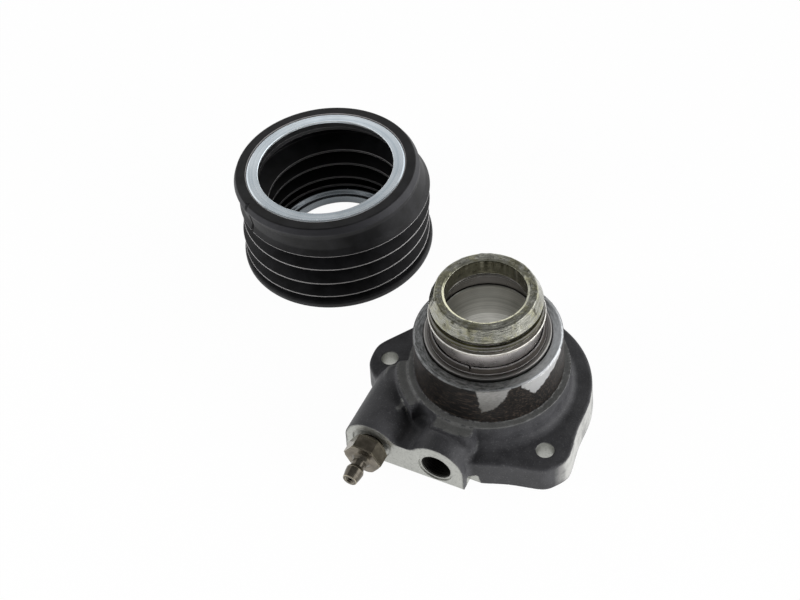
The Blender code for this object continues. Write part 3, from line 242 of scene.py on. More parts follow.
def rounded_outline(corners, steps=5):
    """Closed outline of (radius, height, rounding) corners, each turned into a tangent arc.

    The arc's centre lies on the corner's bisector, and its points are a spherical blend of the two
    radii to the tangent points. One more point before and after each arc keeps the flats flat.
    """
    table = np.asarray(corners, float)
    corner, rounding = table[:, :2], table[:, 2:]
    back = np.roll(corner, 1, axis=0) - corner
    ahead = np.roll(corner, -1, axis=0) - corner
    back_length = np.linalg.norm(back, axis=1, keepdims=True)
    ahead_length = np.linalg.norm(ahead, axis=1, keepdims=True)
    back, ahead = back / back_length, ahead / ahead_length
    half = 0.5 * np.arccos(np.clip(np.sum(back * ahead, axis=1, keepdims=True), -1.0, 1.0))
    setback = np.minimum(rounding / np.tan(half), 0.4 * np.minimum(back_length, ahead_length))
    rounding = setback * np.tan(half)
    bisector = back + ahead
    bisector /= np.maximum(np.linalg.norm(bisector, axis=1, keepdims=True), 1e-9)
    centre = corner + bisector * rounding / np.sin(half)
    first, last = corner + back * setback - centre, corner + ahead * setback - centre
    sweep = np.maximum(math.pi - 2.0 * half, 1e-6)[:, :, None]
    share = np.linspace(0.0, 1.0, steps)[None, :, None]
    arcs = np.sin((1.0 - share) * sweep) * first[:, None] + np.sin(share * sweep) * last[:, None]
    arcs = arcs / np.sin(sweep) + centre[:, None]
    spare_back = np.minimum(0.3 * setback + 0.02 * MM, 0.09 * back_length)
    spare_ahead = np.minimum(0.3 * setback + 0.02 * MM, 0.09 * ahead_length)
    before = (corner + back * (setback + spare_back))[:, None]
    after = (corner + ahead * (setback + spare_ahead))[:, None]
    return np.concatenate([before, arcs, after], axis=1).reshape(-1, 2)


def circle(stations):
    """Even directions all round, one to a row."""
    return np.linspace(0.0, 2 * math.pi, stations, endpoint=False)[:, None]


def turned(outline, angle, centre=(0.0, 0.0)):
    """Outline carried round a vertical axis: x = r cos a, y = r sin a, z = h."""
    radius, height = outline[None, :, 0], outline[None, :, 1]
    x = centre[0] + radius * np.cos(angle)
    y = centre[1] + radius * np.sin(angle)
    return np.stack([x, y, np.broadcast_to(height, x.shape)], axis=-1)


# Distance formulas of the casting: negative inside, in metres


def union(*solids):
    """All that lies in any of the solids."""
    return functools.reduce(np.minimum, solids)


def common(*solids):
    """What lies in every one of the solids."""
    return functools.reduce(np.maximum, solids)


def fillet(a, b, radius):
    """Both solids together, with a round fillet in the corner where they meet."""
    reach = np.hypot(np.maximum(radius - a, 0.0), np.maximum(radius - b, 0.0))
    return np.maximum(radius, np.minimum(a, b)) - reach


def rounded(a, b, radius):
    """What lies in both solids, with the edge between them rounded."""
    reach = np.hypot(np.maximum(radius + a, 0.0), np.maximum(radius + b, 0.0))
    return np.minimum(-radius, np.maximum(a, b)) + reach


def soft_max(a, b):
    """Larger of two reaches, blended where they are alike: log of the sum of exponentials."""
    return np.maximum(a, b) + OUTLINE_BLEND * np.log1p(np.exp(-np.abs(a - b) / OUTLINE_BLEND))


def flange_reach(angle):
    """Distance from the axis to the flange's edge in a direction: the disc and its three ears."""
    reach = np.full_like(angle, FLANGE_RADIUS)
    for direction, _, end, side_turn, side in EARS:
        off = np.abs((angle - math.radians(direction) + math.pi) % (2 * math.pi) - math.pi)
        past = off - math.radians(side_turn)
        flank = side / np.cos(np.minimum(past, 0.0))
        ear = -soft_max(-np.full_like(flank, end), -flank)
        ear = np.where(past < 0.0, ear, side - past * FLANGE_RADIUS)
        reach = soft_max(reach, ear)
    return reach


def flange(x, y, z):
    """Plate inside the edge's reach, divided by the edge's slope to make it a true distance."""
    angle, radius = np.arctan2(y, x), np.hypot(x, y)
    step = 0.01
    reach = flange_reach(angle)
    slope = (flange_reach(angle + step) - flange_reach(angle - step)) / (2 * step) / reach
    side = radius - reach - CAST_DRAFT * (1.0 - z / FLANGE_THICKNESS)
    side /= np.sqrt(1.0 + slope**2)
    return rounded(side, z - FLANGE_THICKNESS, CAST_EDGE)


def boss_foot(x, y, z):
    """Round foot of the boss, whose top edge is the ledge that seats the boot's ring."""
    return rounded(np.hypot(x, y) - RIM_RADIUS, z - RIM_TOP, 0.25 * MM)


def boss(x, y, z):
    """Tapered wall, left open at the top for the facing cut."""
    taper = (BOSS_FOOT_RADIUS - BOSS_TOP_RADIUS) / (CAST_TOP - RIM_TOP)
    return np.hypot(x, y) - BOSS_FOOT_RADIUS + taper * (z - RIM_TOP)


def lip_cuts(radius, z):
    """What is turned off the boss's top: all above the lip, and outside the cone of its chamfer."""
    width = BOSS_TOP_RADIUS - LIP_RADIUS
    chamfer = LIP_HEIGHT * (radius - LIP_RADIUS) + width * (z - CAST_TOP)
    chamfer = np.maximum(-chamfer / math.hypot(LIP_HEIGHT, width), RIM_TOP + MM - z)
    return np.minimum(CAST_TOP - z, chamfer)


def sector(x, y, radius, from_degrees, to_degrees):
    """Plan of a slice of a disc: inside the radius and between two directions under half a turn apart."""
    start, stop = math.radians(from_degrees), math.radians(to_degrees)
    past_start = x * math.sin(start) - y * math.cos(start)
    past_stop = y * math.cos(stop) - x * math.sin(stop)
    return rounded(np.hypot(x, y) - radius, np.maximum(past_start, past_stop), 2.6 * MM)


def pocket(x, y, z):
    """Slot open towards the ports: a half-round end, straight sides that flare upwards, and a flat floor."""
    half = POCKET_HALF_WIDTH + 0.13 * (z - VALLEY_Z)
    centre_y = POCKET_END_Y - POCKET_HALF_WIDTH
    lean = 0.18 * (y - centre_y)
    plan = np.hypot(x - POCKET_X - np.minimum(lean, 0.0), np.maximum(y - centre_y, 0.0)) - half
    return rounded(plan, VALLEY_Z - z, 2.0 * MM)


def shoulder(x, y, z):
    """Two stepped pads beside the boss, parted by the pocket."""
    lift = CAST_DRAFT * (1.0 - z / SHOULDER_HEIGHT)
    upper, lower = (
        rounded(sector(x, y, radius, SHOULDER_FROM, end) - lift, z - height, 0.7 * MM)
        for height, radius, end in PADS
    )
    return rounded(fillet(upper, lower, 0.8 * MM), -pocket(x, y, z), 0.4 * MM)


def port_block(x, y, z):
    """Prism behind the port face: two lobes joined by a web that a round-ended trough hollows out."""
    inlet = np.hypot(x - INLET_X, z - INLET_Z) - INLET_LOBE_RADIUS
    foot = np.maximum(np.abs(x - INLET_X) - INLET_LOBE_RADIUS, z - INLET_Z)
    bleeder = np.hypot(x - BLEEDER_X, z - BLEEDER_Z) - BLEEDER_LOBE_RADIUS
    lean = BLEEDER_FOOT_FLARE * (1.0 - z / BLEEDER_Z)
    outer = common(BLEEDER_X - BLEEDER_LOBE_RADIUS - lean - x, x - INLET_X, z - BLEEDER_Z)
    trough_z = VALLEY_Z + VALLEY_FILLET
    inlet_reach = INLET_LOBE_RADIUS + VALLEY_FILLET
    bleeder_reach = BLEEDER_LOBE_RADIUS + VALLEY_FILLET
    trough_right = INLET_X - math.sqrt(inlet_reach**2 - (trough_z - INLET_Z) ** 2)
    trough_left = BLEEDER_X + math.sqrt(bleeder_reach**2 - (trough_z - BLEEDER_Z) ** 2)
    trough = np.hypot(x - np.clip(x, trough_left, trough_right), z - trough_z) - VALLEY_FILLET
    tangent_z = INLET_Z + (trough_z - INLET_Z) * INLET_LOBE_RADIUS / inlet_reach
    web = common(BLEEDER_X - x, x - INLET_X, z - tangent_z, -trough)
    return np.maximum(union(inlet, foot, bleeder, outer, web), y - PORT_BLOCK_BACK_Y)


def bleeder_boss(x, y, z):
    """Round boss that carries the bleed passage back beside the body, with a domed end."""
    dome = BLEEDER_LOBE_RADIUS * 0.6
    radial = np.hypot(x - BLEEDER_X, z - BLEEDER_Z) - BLEEDER_LOBE_RADIUS
    return rounded(radial, y - BLEEDER_BOSS_END_Y, dome)


def cast_form(x, y, z):
    """All that the mould gives, joined with its fillets."""
    body = fillet(flange(x, y, z), boss_foot(x, y, z), FOOT_FILLET)
    ports = np.minimum(port_block(x, y, z), bleeder_boss(x, y, z))
    body = fillet(body, ports, 2.0 * MM)
    body = fillet(body, shoulder(x, y, z), 1.2 * MM)
    return np.minimum(body, boss(x, y, z))


def cylinder(across, along, radius, low, high):
    """Plain round cut between two places on its axis."""
    return common(across - radius, low - along, along - high)


def bore_cuts(radius, z):
    """Everything turned on the axis: pressure chamber, its neck, the sleeve's seat and the grooves."""
    sleeve, seal, clip = "guide_sleeve", "guide_sleeve_o_ring", "guide_sleeve_circlip"
    wire = "stop_ring_lock_wire"
    wire_z = (foot_of(wire) + top_of(wire)) / 2
    bores = (
        (BORE_RADIUS, foot_of("preload_spring") - SEAT_GAP, PAST),
        (radius_of(wire), wire_z - MM, wire_z + MM),
        (NECK_BORE_RADIUS, -PAST, PAST),
        (radius_of(seal) + SEAT_GAP, -PAST, top_of(seal)),
        (radius_of(sleeve) + SEAT_GAP, -PAST, foot_of(seal)),
        (radius_of(clip), foot_of(clip) - SEAT_GAP, foot_of(sleeve)),
    )
    seal_middle = radius_of("flange_o_ring") - FACE_SEAL_SECTION / 2
    half_groove = FACE_SEAL_SECTION / 2 + SEAT_GAP
    face_groove = np.abs(radius - seal_middle) - half_groove
    face_groove = np.maximum(face_groove, z - FACE_SEAL_SECTION - 2 * SEAT_GAP)
    lip_chamfer = (radius - BORE_RADIUS - LIP_CHAMFER + CAST_TOP - z) / math.sqrt(2.0)
    lip_chamfer = np.maximum(lip_chamfer, CAST_TOP - 2 * LIP_CHAMFER - z)
    return union(face_groove, lip_chamfer, *(cylinder(radius, z, *bore) for bore in bores))


def port_cuts(x, y, z):
    """The two holes drilled in from the port face, with their spot faces and the inlet's passage."""
    from_inlet = np.hypot(x - INLET_X, z - INLET_Z)
    from_bleeder = np.hypot(x - BLEEDER_X, z - BLEEDER_Z)
    to_chamber = -PORT_FACE_Y - BORE_RADIUS + 3 * MM
    holes = (
        (from_inlet, INLET_HOLE_RADIUS, -INLET_DEPTH, INLET_DEPTH),
        (from_inlet, INLET_SPOT_RADIUS, -INLET_DEPTH, SPOT_DEPTH),
        (from_inlet, PASSAGE_RADIUS, 0.0, to_chamber),
        (from_bleeder, BLEED_SPOT_RADIUS, -INLET_DEPTH, SPOT_DEPTH),
        (from_bleeder, BLEED_HOLE_RADIUS, 0.0, BLEED_DEPTH),
    )
    return union(*(cylinder(across, y - PORT_FACE_Y, *hole) for across, *hole in holes))


def machined_cuts(x, y, z):
    """All that is milled, bored or drilled away afterwards, as one solid."""
    radius = np.hypot(x, y)
    cuts = [z, y - PORT_FACE_Y, lip_cuts(radius, z), bore_cuts(radius, z), port_cuts(x, y, z)]
    for direction, distance, *_ in EARS:
        towards = math.radians(direction)
        from_hole = np.hypot(x - distance * math.cos(towards), y - distance * math.sin(towards))
        cuts.append(cylinder(from_hole, z, BOLT_HOLE_RADIUS, -PAST, PAST))
    return union(*cuts)


def relief(x, y, z):
    """Notch moulded under the flange's edge beside the port block."""
    wall = x - INLET_X - INLET_LOBE_RADIUS
    return common(-wall, wall - RELIEF_WIDTH, z - RELIEF_HEIGHT, y + FLANGE_RADIUS - RELIEF_DEPTH)


def finished_form(x, y, z):
    """Casting less its notch and its machining."""
    cast = np.maximum(cast_form(x, y, z), -relief(x, y, z))
    return np.maximum(cast, -machined_cuts(x, y, z))


def gradient(form, points, step=0.02 * MM):
    """Central differences of a form at many points."""
    columns = [form(*(points + shift).T) - form(*(points - shift).T) for shift in step * np.eye(3)]
    return np.stack(columns, axis=1) / (2.0 * step)


def edge_crossings(form, value, low, spacing, axis):
    """Where the zero level crosses the grid's edges along one axis, found by the secant rule."""
    first = [slice(None)] * 3
    second = [slice(None)] * 3
    first[axis], second[axis] = slice(None, -1), slice(1, None)
    start, stop = value[tuple(first)], value[tuple(second)]
    cells = np.argwhere((start < 0.0) != (stop < 0.0))
    start, stop = start[tuple(cells.T)], stop[tuple(cells.T)]
    outward = start < 0.0
    unit = np.eye(3)[axis]
    near, far = np.zeros(len(cells)), np.ones(len(cells))
    for _ in range(4):
        share = np.clip((near * stop - far * start) / (stop - start), 0.02, 0.98)
        share = np.clip(share, near, far)
        points = low + spacing * (cells + share[:, None] * unit)
        middle = form(*points.T)
        same = (middle < 0.0) == (start < 0.0)
        near, start = np.where(same, share, near), np.where(same, middle, start)
        far, stop = np.where(same, far, share), np.where(same, stop, middle)
    return cells, points, outward


def surface_of(form, low, high, spacing):
    """Quad surface of a form's zero level by dual contouring.

    Each grid cell that the surface crosses gets one point: the one nearest, in least squares, to the
    tangent planes at its edges' crossings, which puts the points of a machined edge on that edge.
    """
    counts = np.ceil((high - low) / spacing).astype(int) + 1
    lines = [low[axis] + spacing * np.arange(counts[axis]) for axis in range(3)]
    value = form(*np.meshgrid(*lines, indexing="ij", sparse=True))
    value = np.broadcast_to(value, counts)
    planes, owners, sheets = [], [], []
    for axis in range(3):
        cells, points, outward = edge_crossings(form, value, low, spacing, axis)
        normal = gradient(form, points)
        normal /= np.maximum(np.linalg.norm(normal, axis=1, keepdims=True), 1e-9)
        side, turn = np.eye(3, dtype=int)[[(axis + 1) % 3, (axis + 2) % 3]]
        around = np.stack([cells - side - turn, cells - turn, cells, cells - side], axis=1)
        number = np.ravel_multi_index(tuple(np.moveaxis(around, -1, 0)), counts)
        sheets.append(np.where(outward[:, None], number, number[:, ::-1]))
        owners.append(number.ravel())
        planes.append(np.repeat(np.concatenate([normal, points], axis=1), 4, axis=0))
    planes = np.concatenate(planes)
    used, owner = np.unique(np.concatenate(owners), return_inverse=True)

    def gathered(values):
        return np.bincount(owner, values, len(used))

    normal, points = planes[:, :3], planes[:, 3:]
    share = gathered(np.ones(len(owner)))
    middle = np.stack([gathered(points[:, axis]) / share for axis in range(3)], axis=1)
    offset = np.sum(normal * (points - middle[owner]), axis=1)
    matrix = np.empty((len(used), 3, 3))
    pull = np.empty((len(used), 3))
    for row in range(3):
        pull[:, row] = gathered(normal[:, row] * offset)
        for column in range(3):
            matrix[:, row, column] = gathered(normal[:, row] * normal[:, column])
    matrix += 0.02 * np.eye(3)
    shift = np.linalg.solve(matrix, pull[:, :, None])[:, :, 0]
    corner = low + spacing * np.stack(np.unravel_index(used, counts), axis=1)
    placed = np.clip(middle + shift, corner - 0.05 * spacing, corner + 1.05 * spacing)
    quads = np.searchsorted(used, np.concatenate(sheets))
    return placed, quads


def set_form_normals(mesh, slopes):
    """Shades each corner by the form's slope, or flat where that leaves the face by over 35 degrees."""
    slopes = slopes / np.maximum(np.linalg.norm(slopes, axis=1, keepdims=True), 1e-9)
    corner = np.empty(len(mesh.loops), np.int32)
    mesh.loops.foreach_get("vertex_index", corner)
    face = np.empty((len(mesh.polygons), 3), np.float32)
    mesh.polygons.foreach_get("normal", face.ravel())
    face = np.repeat(face, 4, axis=0)
    smooth = slopes[corner]
    agrees = np.sum(smooth * face, axis=1, keepdims=True) > math.cos(math.radians(35.0))
    mesh.normals_split_custom_set(np.where(agrees, smooth, face).tolist())


def make_housing(material):
    """The casting, with what each point of its skin is: cut or cast, coated or bare, edge or hollow."""
    low, high = (np.array(corner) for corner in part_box("housing"))
    margin = NET_SPACING * np.array([1.31, 1.37, 1.43])
    points, quads = surface_of(finished_form, low - margin, high + margin, NET_SPACING)
    x, y, z = points.T
    angle, radius = np.degrees(np.arctan2(y, x)), np.hypot(x, y)
    reach = 0.7 * MM
    shifts = [sign * reach * np.eye(3)[axis] for axis in range(3) for sign in (1, -1)]
    values = np.array([finished_form(*(points + shift).T) for shift in shifts])
    edge = (values.sum(axis=0) - 6.0 * finished_form(x, y, z)) / reach
    facing_right, _, facing_up = (values[::2] - values[1::2]) / (2 * reach)

    machined = np.clip((-cast_form(x, y, z) - 0.06 * MM) / (0.1 * MM), 0.0, 1.0)
    ledge = (radius > BOSS_FOOT_RADIUS) & (radius < RIM_RADIUS + 0.1 * MM)
    ledge &= np.abs(z - RIM_TOP) < 0.3 * MM
    machined = np.maximum(machined, 0.16 * ledge)
    for height, pad_radius, end in PADS:
        pad = (np.abs(z - height) < 0.3 * MM) & (radius > RIM_RADIUS) & (radius < pad_radius)
        pad &= (angle > SHOULDER_FROM) & (angle < end) & (facing_up > 0.8)
        machined = np.maximum(machined, 0.15 * pad)
    # The flange's right-facing sides on the right are marked for lightening: partly rubbed metal, partly a
    # painted sheen of the light from that side
    rub_and_sheen = np.clip((facing_right - 0.78) / 0.15, 0.0, 1.0) * (x > 24 * MM)
    rub_and_sheen *= np.clip((FLANGE_THICKNESS - z) / (0.5 * MM), 0.0, 1.0)
    coat = (radius > BOSS_TOP_RADIUS - 0.4 * MM) & (radius < BOSS_FOOT_RADIUS + 0.2 * MM)
    coat &= z > RIM_TOP + 0.2 * MM
    lip = (z > CAST_TOP - LIP_HEIGHT - 0.1 * MM) & (radius > BORE_RADIUS - 0.2 * MM)
    bare = np.full(len(points), -4.0)
    for patch in BARE_PATCHES:
        depth = polygon_depth(angle * BARE_SCALE, z, np.array(patch) * [BARE_SCALE, MM])
        bare = np.maximum(bare, depth / MM)
    marks = {"machined": machined, "edge": edge, "coat": coat, "bare": bare, "rub_and_sheen": rub_and_sheen, "lip": lip}
    piece = add_piece("housing_casting", points, quads, material, marks, crease=40.0)
    set_form_normals(piece.data, gradient(finished_form, points))


def polygon_depth(across, up, corners):
    """Signed distance into a closed outline: to its nearest side, negative outside."""
    nearest = np.full(len(across), 1.0)
    inside = np.zeros(len(across), bool)
    for (x0, y0), (x1, y1) in zip(corners, np.roll(corners, -1, axis=0)):
        side_x, side_y = x1 - x0, y1 - y0
        along = ((across - x0) * side_x + (up - y0) * side_y) / (side_x**2 + side_y**2)
        along = np.clip(along, 0.0, 1.0)
        nearest = np.minimum(nearest, np.hypot(across - x0 - along * side_x, up - y0 - along * side_y))
        between = (y0 > up) != (y1 > up)
        rise = 1e-12 if side_y == 0.0 else side_y
        inside ^= between & (across < x0 + (up - y0) * side_x / rise)
    return np.where(inside, nearest, -nearest)


# Shader nodes

GROUPS = {}


def put(kind, inputs=None, tree=None, **settings):
    """Adds a node to its inputs' tree. Each input is given a value or another node's output."""
    inputs = inputs or {}
    sockets = {name: value for name, value in inputs.items() if isinstance(value, bpy.types.NodeSocket)}
    tree = tree or next(iter(sockets.values())).id_data
    node = tree.nodes.new(kind)
    for name, value in settings.items():
        setattr(node, name, value)
    for name, value in inputs.items():
        if name in sockets:
            tree.links.new(value, node.inputs[name])
        else:
            node.inputs[name].default_value = value
    return node


def calc(operation, *values, clamp=False):
    """Result of a Math node."""
    node = put("ShaderNodeMath", dict(enumerate(values)), operation=operation, use_clamp=clamp)
    return node.outputs[0]


def ramp(value, low, high, to_low=0.0, to_high=1.0):
    """Smooth step of a value between two levels."""
    inputs = {0: value, 1: low, 2: high, 3: to_low, 4: to_high}
    return put("ShaderNodeMapRange", inputs, interpolation_type="SMOOTHSTEP").outputs[0]


def times(a, b):
    return calc("MULTIPLY", a, b)


def vector(operation, *values, **inputs):
    """Result of a Vector Math node."""
    node = put("ShaderNodeVectorMath", {**dict(enumerate(values)), **inputs}, operation=operation)
    return node.outputs["Value" if operation in ("LENGTH", "DOT_PRODUCT") else "Vector"]


def joined(*parts):
    """Vector of its parts along X, Y and Z."""
    return put("ShaderNodeCombineXYZ", dict(enumerate(parts))).outputs[0]


def parts_of(place):
    """The three parts of a vector."""
    return put("ShaderNodeSeparateXYZ", {0: place}).outputs


def blended(factor, a, b):
    """Colour between a and b."""
    return put("ShaderNodeMix", {0: factor, 6: a, 7: b}, data_type="RGBA").outputs[2]


def toned(factor, dark, light):
    """Colour between two screen colours."""
    return blended(factor, linear(*dark), linear(*light))


def tinted(colour, mask, tint, share=1.0):
    """Colour moved towards a screen colour by a share of the mask."""
    return blended(times(mask, share), colour, linear(*tint))


def noise(place, scale, detail=3.0, roughness=0.5):
    inputs = {"Vector": place, "Scale": scale, "Detail": detail, "Roughness": roughness}
    return put("ShaderNodeTexNoise", inputs).outputs["Fac"]


def new_group(name, inputs, outputs):
    """Empty node group: the sockets of its inputs, and its output node."""
    tree = bpy.data.node_groups.new(name, "ShaderNodeTree")
    for label, value in inputs.items():
        kind = "NodeSocketVector" if label == "Place" else "NodeSocketFloat"
        socket = tree.interface.new_socket(label, in_out="INPUT", socket_type=kind)
        if value is not None:
            socket.default_value = value
    for label in outputs:
        tree.interface.new_socket(label, in_out="OUTPUT", socket_type="NodeSocketFloat")
    given = tree.nodes.new("NodeGroupInput").outputs
    return given, tree.nodes.new("NodeGroupOutput")


def finish_group(end, **results):
    """Links the results to the group's outputs and keeps the group for the materials."""
    tree = end.id_data
    for label, socket in results.items():
        tree.links.new(socket, end.inputs[label])
    GROUPS[tree.name] = tree


def cast_grain_group():
    """Skin of a sand casting: fine grain, shallow pits and broad mottling."""
    given, end = new_group("cast grain", {"Place": None, "Grain": 1400.0}, ("Height", "Mottle"))
    fine = noise(given["Place"], given["Grain"], 5.0, 0.65)
    pits = put("ShaderNodeTexVoronoi", {"Vector": given["Place"], "Scale": 620.0, "Randomness": 1.0})
    pit = ramp(pits.outputs["Distance"], 0.0, 0.45)
    height = calc("ADD", fine, times(pit, 0.35))
    finish_group(end, Height=height, Mottle=noise(given["Place"], 130.0, 4.0, 0.6))


def around_axis(place):
    """Place laid flat on the ground, its distance from the axis, and its height."""
    parts = parts_of(place)
    flat = joined(parts[0], parts[1])
    return flat, vector("LENGTH", flat), parts[2]


def turning_marks_group():
    """Fine rings left by a lathe: noise over radius and height, broken up slowly round the piece."""
    inputs = {"Place": None, "Pitch": 4000.0}
    given, end = new_group("turning marks", inputs, ("Rings", "Drift", "Radius"))
    _, radius, height = around_axis(given["Place"])
    rings = noise(joined(radius, height), given["Pitch"], 3.0, 0.7)
    drift = noise(given["Place"], 70.0, 2.0, 0.5)
    finish_group(end, Rings=rings, Drift=drift, Radius=radius)


def edge_wear_and_glint_group():
    """Where an edge is lightened, partly as rubbing and partly as a painted highlight: the surface's own edge
    value, broken by noise.
    """
    given, end = new_group("edge wear", {"Place": None, "Edge": 0.0, "Amount": 0.5}, ("Wear",))
    broken = times(noise(given["Place"], 420.0, 3.0, 0.6), 1.3)
    level = times(times(given["Edge"], given["Amount"]), broken)
    finish_group(end, Wear=ramp(level, 0.18, 0.62))


def film_group():
    """Patchy film of grease or oil: where it lies and how thick."""
    given, end = new_group("film", {"Place": None, "Cover": 0.5, "Lump": 180.0}, ("Film", "Thickness"))
    broad = noise(given["Place"], given["Lump"], 4.0, 0.55)
    fine = noise(given["Place"], times(given["Lump"], 4.0), 3.0, 0.5)
    thickness = calc("ADD", times(broad, 0.75), times(fine, 0.25))
    low = calc("SUBTRACT", 1.0, given["Cover"])
    film = ramp(thickness, low, calc("ADD", low, 0.14))
    finish_group(end, Film=film, Thickness=thickness)


def streak_group():
    """Streaks wiped round the axis: noise over direction, and over radius less height, without a seam."""
    inputs = {"Place": None, "Length": 0.003}
    given, end = new_group("wiped streaks", inputs, ("Broad", "Fine", "Radius"))
    flat, radius, height = around_axis(given["Place"])
    around = vector("SCALE", vector("NORMALIZE", flat), Scale=given["Length"])
    across = joined(0.0, 0.0, calc("SUBTRACT", radius, height))
    track = vector("ADD", around, across)
    broad = ramp(noise(track, 420.0, 3.0, 0.6), 0.3, 0.7)
    fine = ramp(noise(track, 1500.0, 4.0, 0.7), 0.3, 0.7)
    finish_group(end, Broad=broad, Fine=fine, Radius=radius)


def smudge_group():
    """Slow change of gloss from handling."""
    given, end = new_group("smudges", {"Place": None, "Scale": 90.0}, ("Smudge",))
    broad = noise(given["Place"], given["Scale"], 5.0, 0.6)
    finish_group(end, Smudge=ramp(broad, 0.3, 0.7))


for make_group in (
    cast_grain_group, turning_marks_group, edge_wear_and_glint_group, film_group, streak_group, smudge_group
):
    make_group()


def effect(name, **inputs):
    """Places a group; the outputs come back by name."""
    return put("ShaderNodeGroup", inputs, node_tree=GROUPS[name]).outputs


def start_material(name, **sockets):
    """New material, its Principled shader and the place on the object."""
    material = bpy.data.materials.new(name)
    material.use_nodes = True
    tree = material.node_tree
    shader = tree.nodes["Principled BSDF"]
    for label, value in sockets.items():
        shader.inputs[label.replace("_", " ")].default_value = value
    place = tree.nodes.new("ShaderNodeTexCoord").outputs["Object"]
    return material, shader, place


def feed(shader, **sockets):
    for label, socket in sockets.items():
        shader.id_data.links.new(socket, shader.inputs[label.replace("_", " ")])


def bumped(height, distance, strength=1.0):
    """Normal from a height, whose full swing is the distance."""
    inputs = {"Height": height, "Distance": distance, "Strength": strength}
    return put("ShaderNodeBump", inputs).outputs[0]


def attribute(place, name):
    return put("ShaderNodeAttribute", tree=place.id_data, attribute_name=name).outputs["Fac"]


def casting_material():
    """Dark phosphated casting with milled faces, and a black coat on the boss that is rubbed through."""
    material, shader, place = start_material("dark casting")
    grain = effect("cast grain", Place=place)
    mottle = grain["Mottle"]
    rings = effect("turning marks", Place=place, Pitch=3200.0)["Rings"]
    smudge = effect("smudges", Place=place)["Smudge"]
    wiped = effect("wiped streaks", Place=place, Length=0.006)["Fine"]
    labels = ("machined", "edge", "coat", "bare", "rub_and_sheen", "lip")
    machined, edge, coat, bare, rub_and_sheen, lip = (attribute(place, label) for label in labels)
    wear_and_glint = effect("edge wear", Place=place, Edge=edge, Amount=0.2)["Wear"]
    parts = parts_of(place)
    # Painted highlight: towards the right, the bare patches and the faced lip are lightened as if catching
    # the light
    right_highlight = ramp(parts[0], 12 * MM, 26 * MM)

    skin = toned(ramp(mottle, 0.3, 0.7), (40, 40, 42), (56, 56, 58))
    glints = noise(place, 1900.0, 3.0, 0.7)
    skin = tinted(skin, ramp(glints, 0.56, 0.72), (104, 104, 106), 0.5)
    # Edges lightened: partly rubbing, partly painted highlight
    skin = tinted(skin, wear_and_glint, (120, 120, 119), 0.35)
    # Right-facing flange sides: partly rubbed metal, partly painted sheen
    rub_and_sheen = times(rub_and_sheen, ramp(mottle, 0.3, 0.62, 0.35, 1.0))
    skin = tinted(skin, rub_and_sheen, (196, 196, 192), 0.8)

    slant = {"Vector": place, "Rotation": (0.0, math.radians(38.0), 0.0), "Scale": (0.1, 0.5, 1.0)}
    scratch = noise(put("ShaderNodeMapping", slant).outputs[0], 2300.0, 3.0, 0.6)
    coated = toned(smudge, (8, 8, 8), (20, 18, 17))
    coated = tinted(coated, ramp(scratch, 0.5, 0.72), (66, 57, 50), 0.8)
    ragged = times(calc("SUBTRACT", noise(place, 420.0, 4.0, 0.6), 0.5), 3.0)
    rubbed = ramp(calc("ADD", bare, ragged), -0.35, 0.55)
    streaks = noise(vector("MULTIPLY", place, (1.0, 1.0, 2.4)), 900.0, 4.0, 0.6)
    high_metal = toned(streaks, (108, 107, 105), (170, 169, 166))
    low_metal = toned(streaks, (84, 83, 80), (132, 131, 128))
    rubbed_metal = blended(ramp(parts[2], 29 * MM, 38 * MM), low_metal, high_metal)
    # Painted highlight on the right of the bare patches
    rubbed_metal = tinted(rubbed_metal, right_highlight, (226, 227, 229), 0.5)
    skin = blended(coat, skin, blended(rubbed, coated, rubbed_metal))

    milled = toned(mottle, (164, 165, 160), (206, 207, 201))
    specks = noise(place, 1500.0, 4.0, 0.7)
    milled = tinted(milled, ramp(specks, 0.45, 0.7), (112, 113, 108), 0.45)
    milled = tinted(milled, rings, (128, 129, 125), 0.2)
    faced = toned(wiped, (84, 85, 84), (168, 170, 171))
    # Painted highlight on the right of the faced lip
    faced = tinted(faced, right_highlight, (240, 244, 248), 0.5)
    colour = blended(machined, skin, blended(lip, milled, faced))

    shiny = calc("MAXIMUM", machined, times(coat, rubbed))
    shiny = calc("MAXIMUM", shiny, times(rub_and_sheen, 0.7))
    rough = ramp(mottle, 0.2, 0.8, 0.42, 0.58)
    rough = calc("SUBTRACT", rough, times(shiny, 0.12))
    normal = bumped(grain["Height"], 0.10 * MM, 0.55)
    gloss = calc("SUBTRACT", 0.36, times(coat, 0.2))
    feed(shader, Base_Color=colour, Metallic=times(shiny, 0.9), Roughness=rough)
    feed(shader, Normal=normal, Specular_IOR_Level=gloss)
    return material


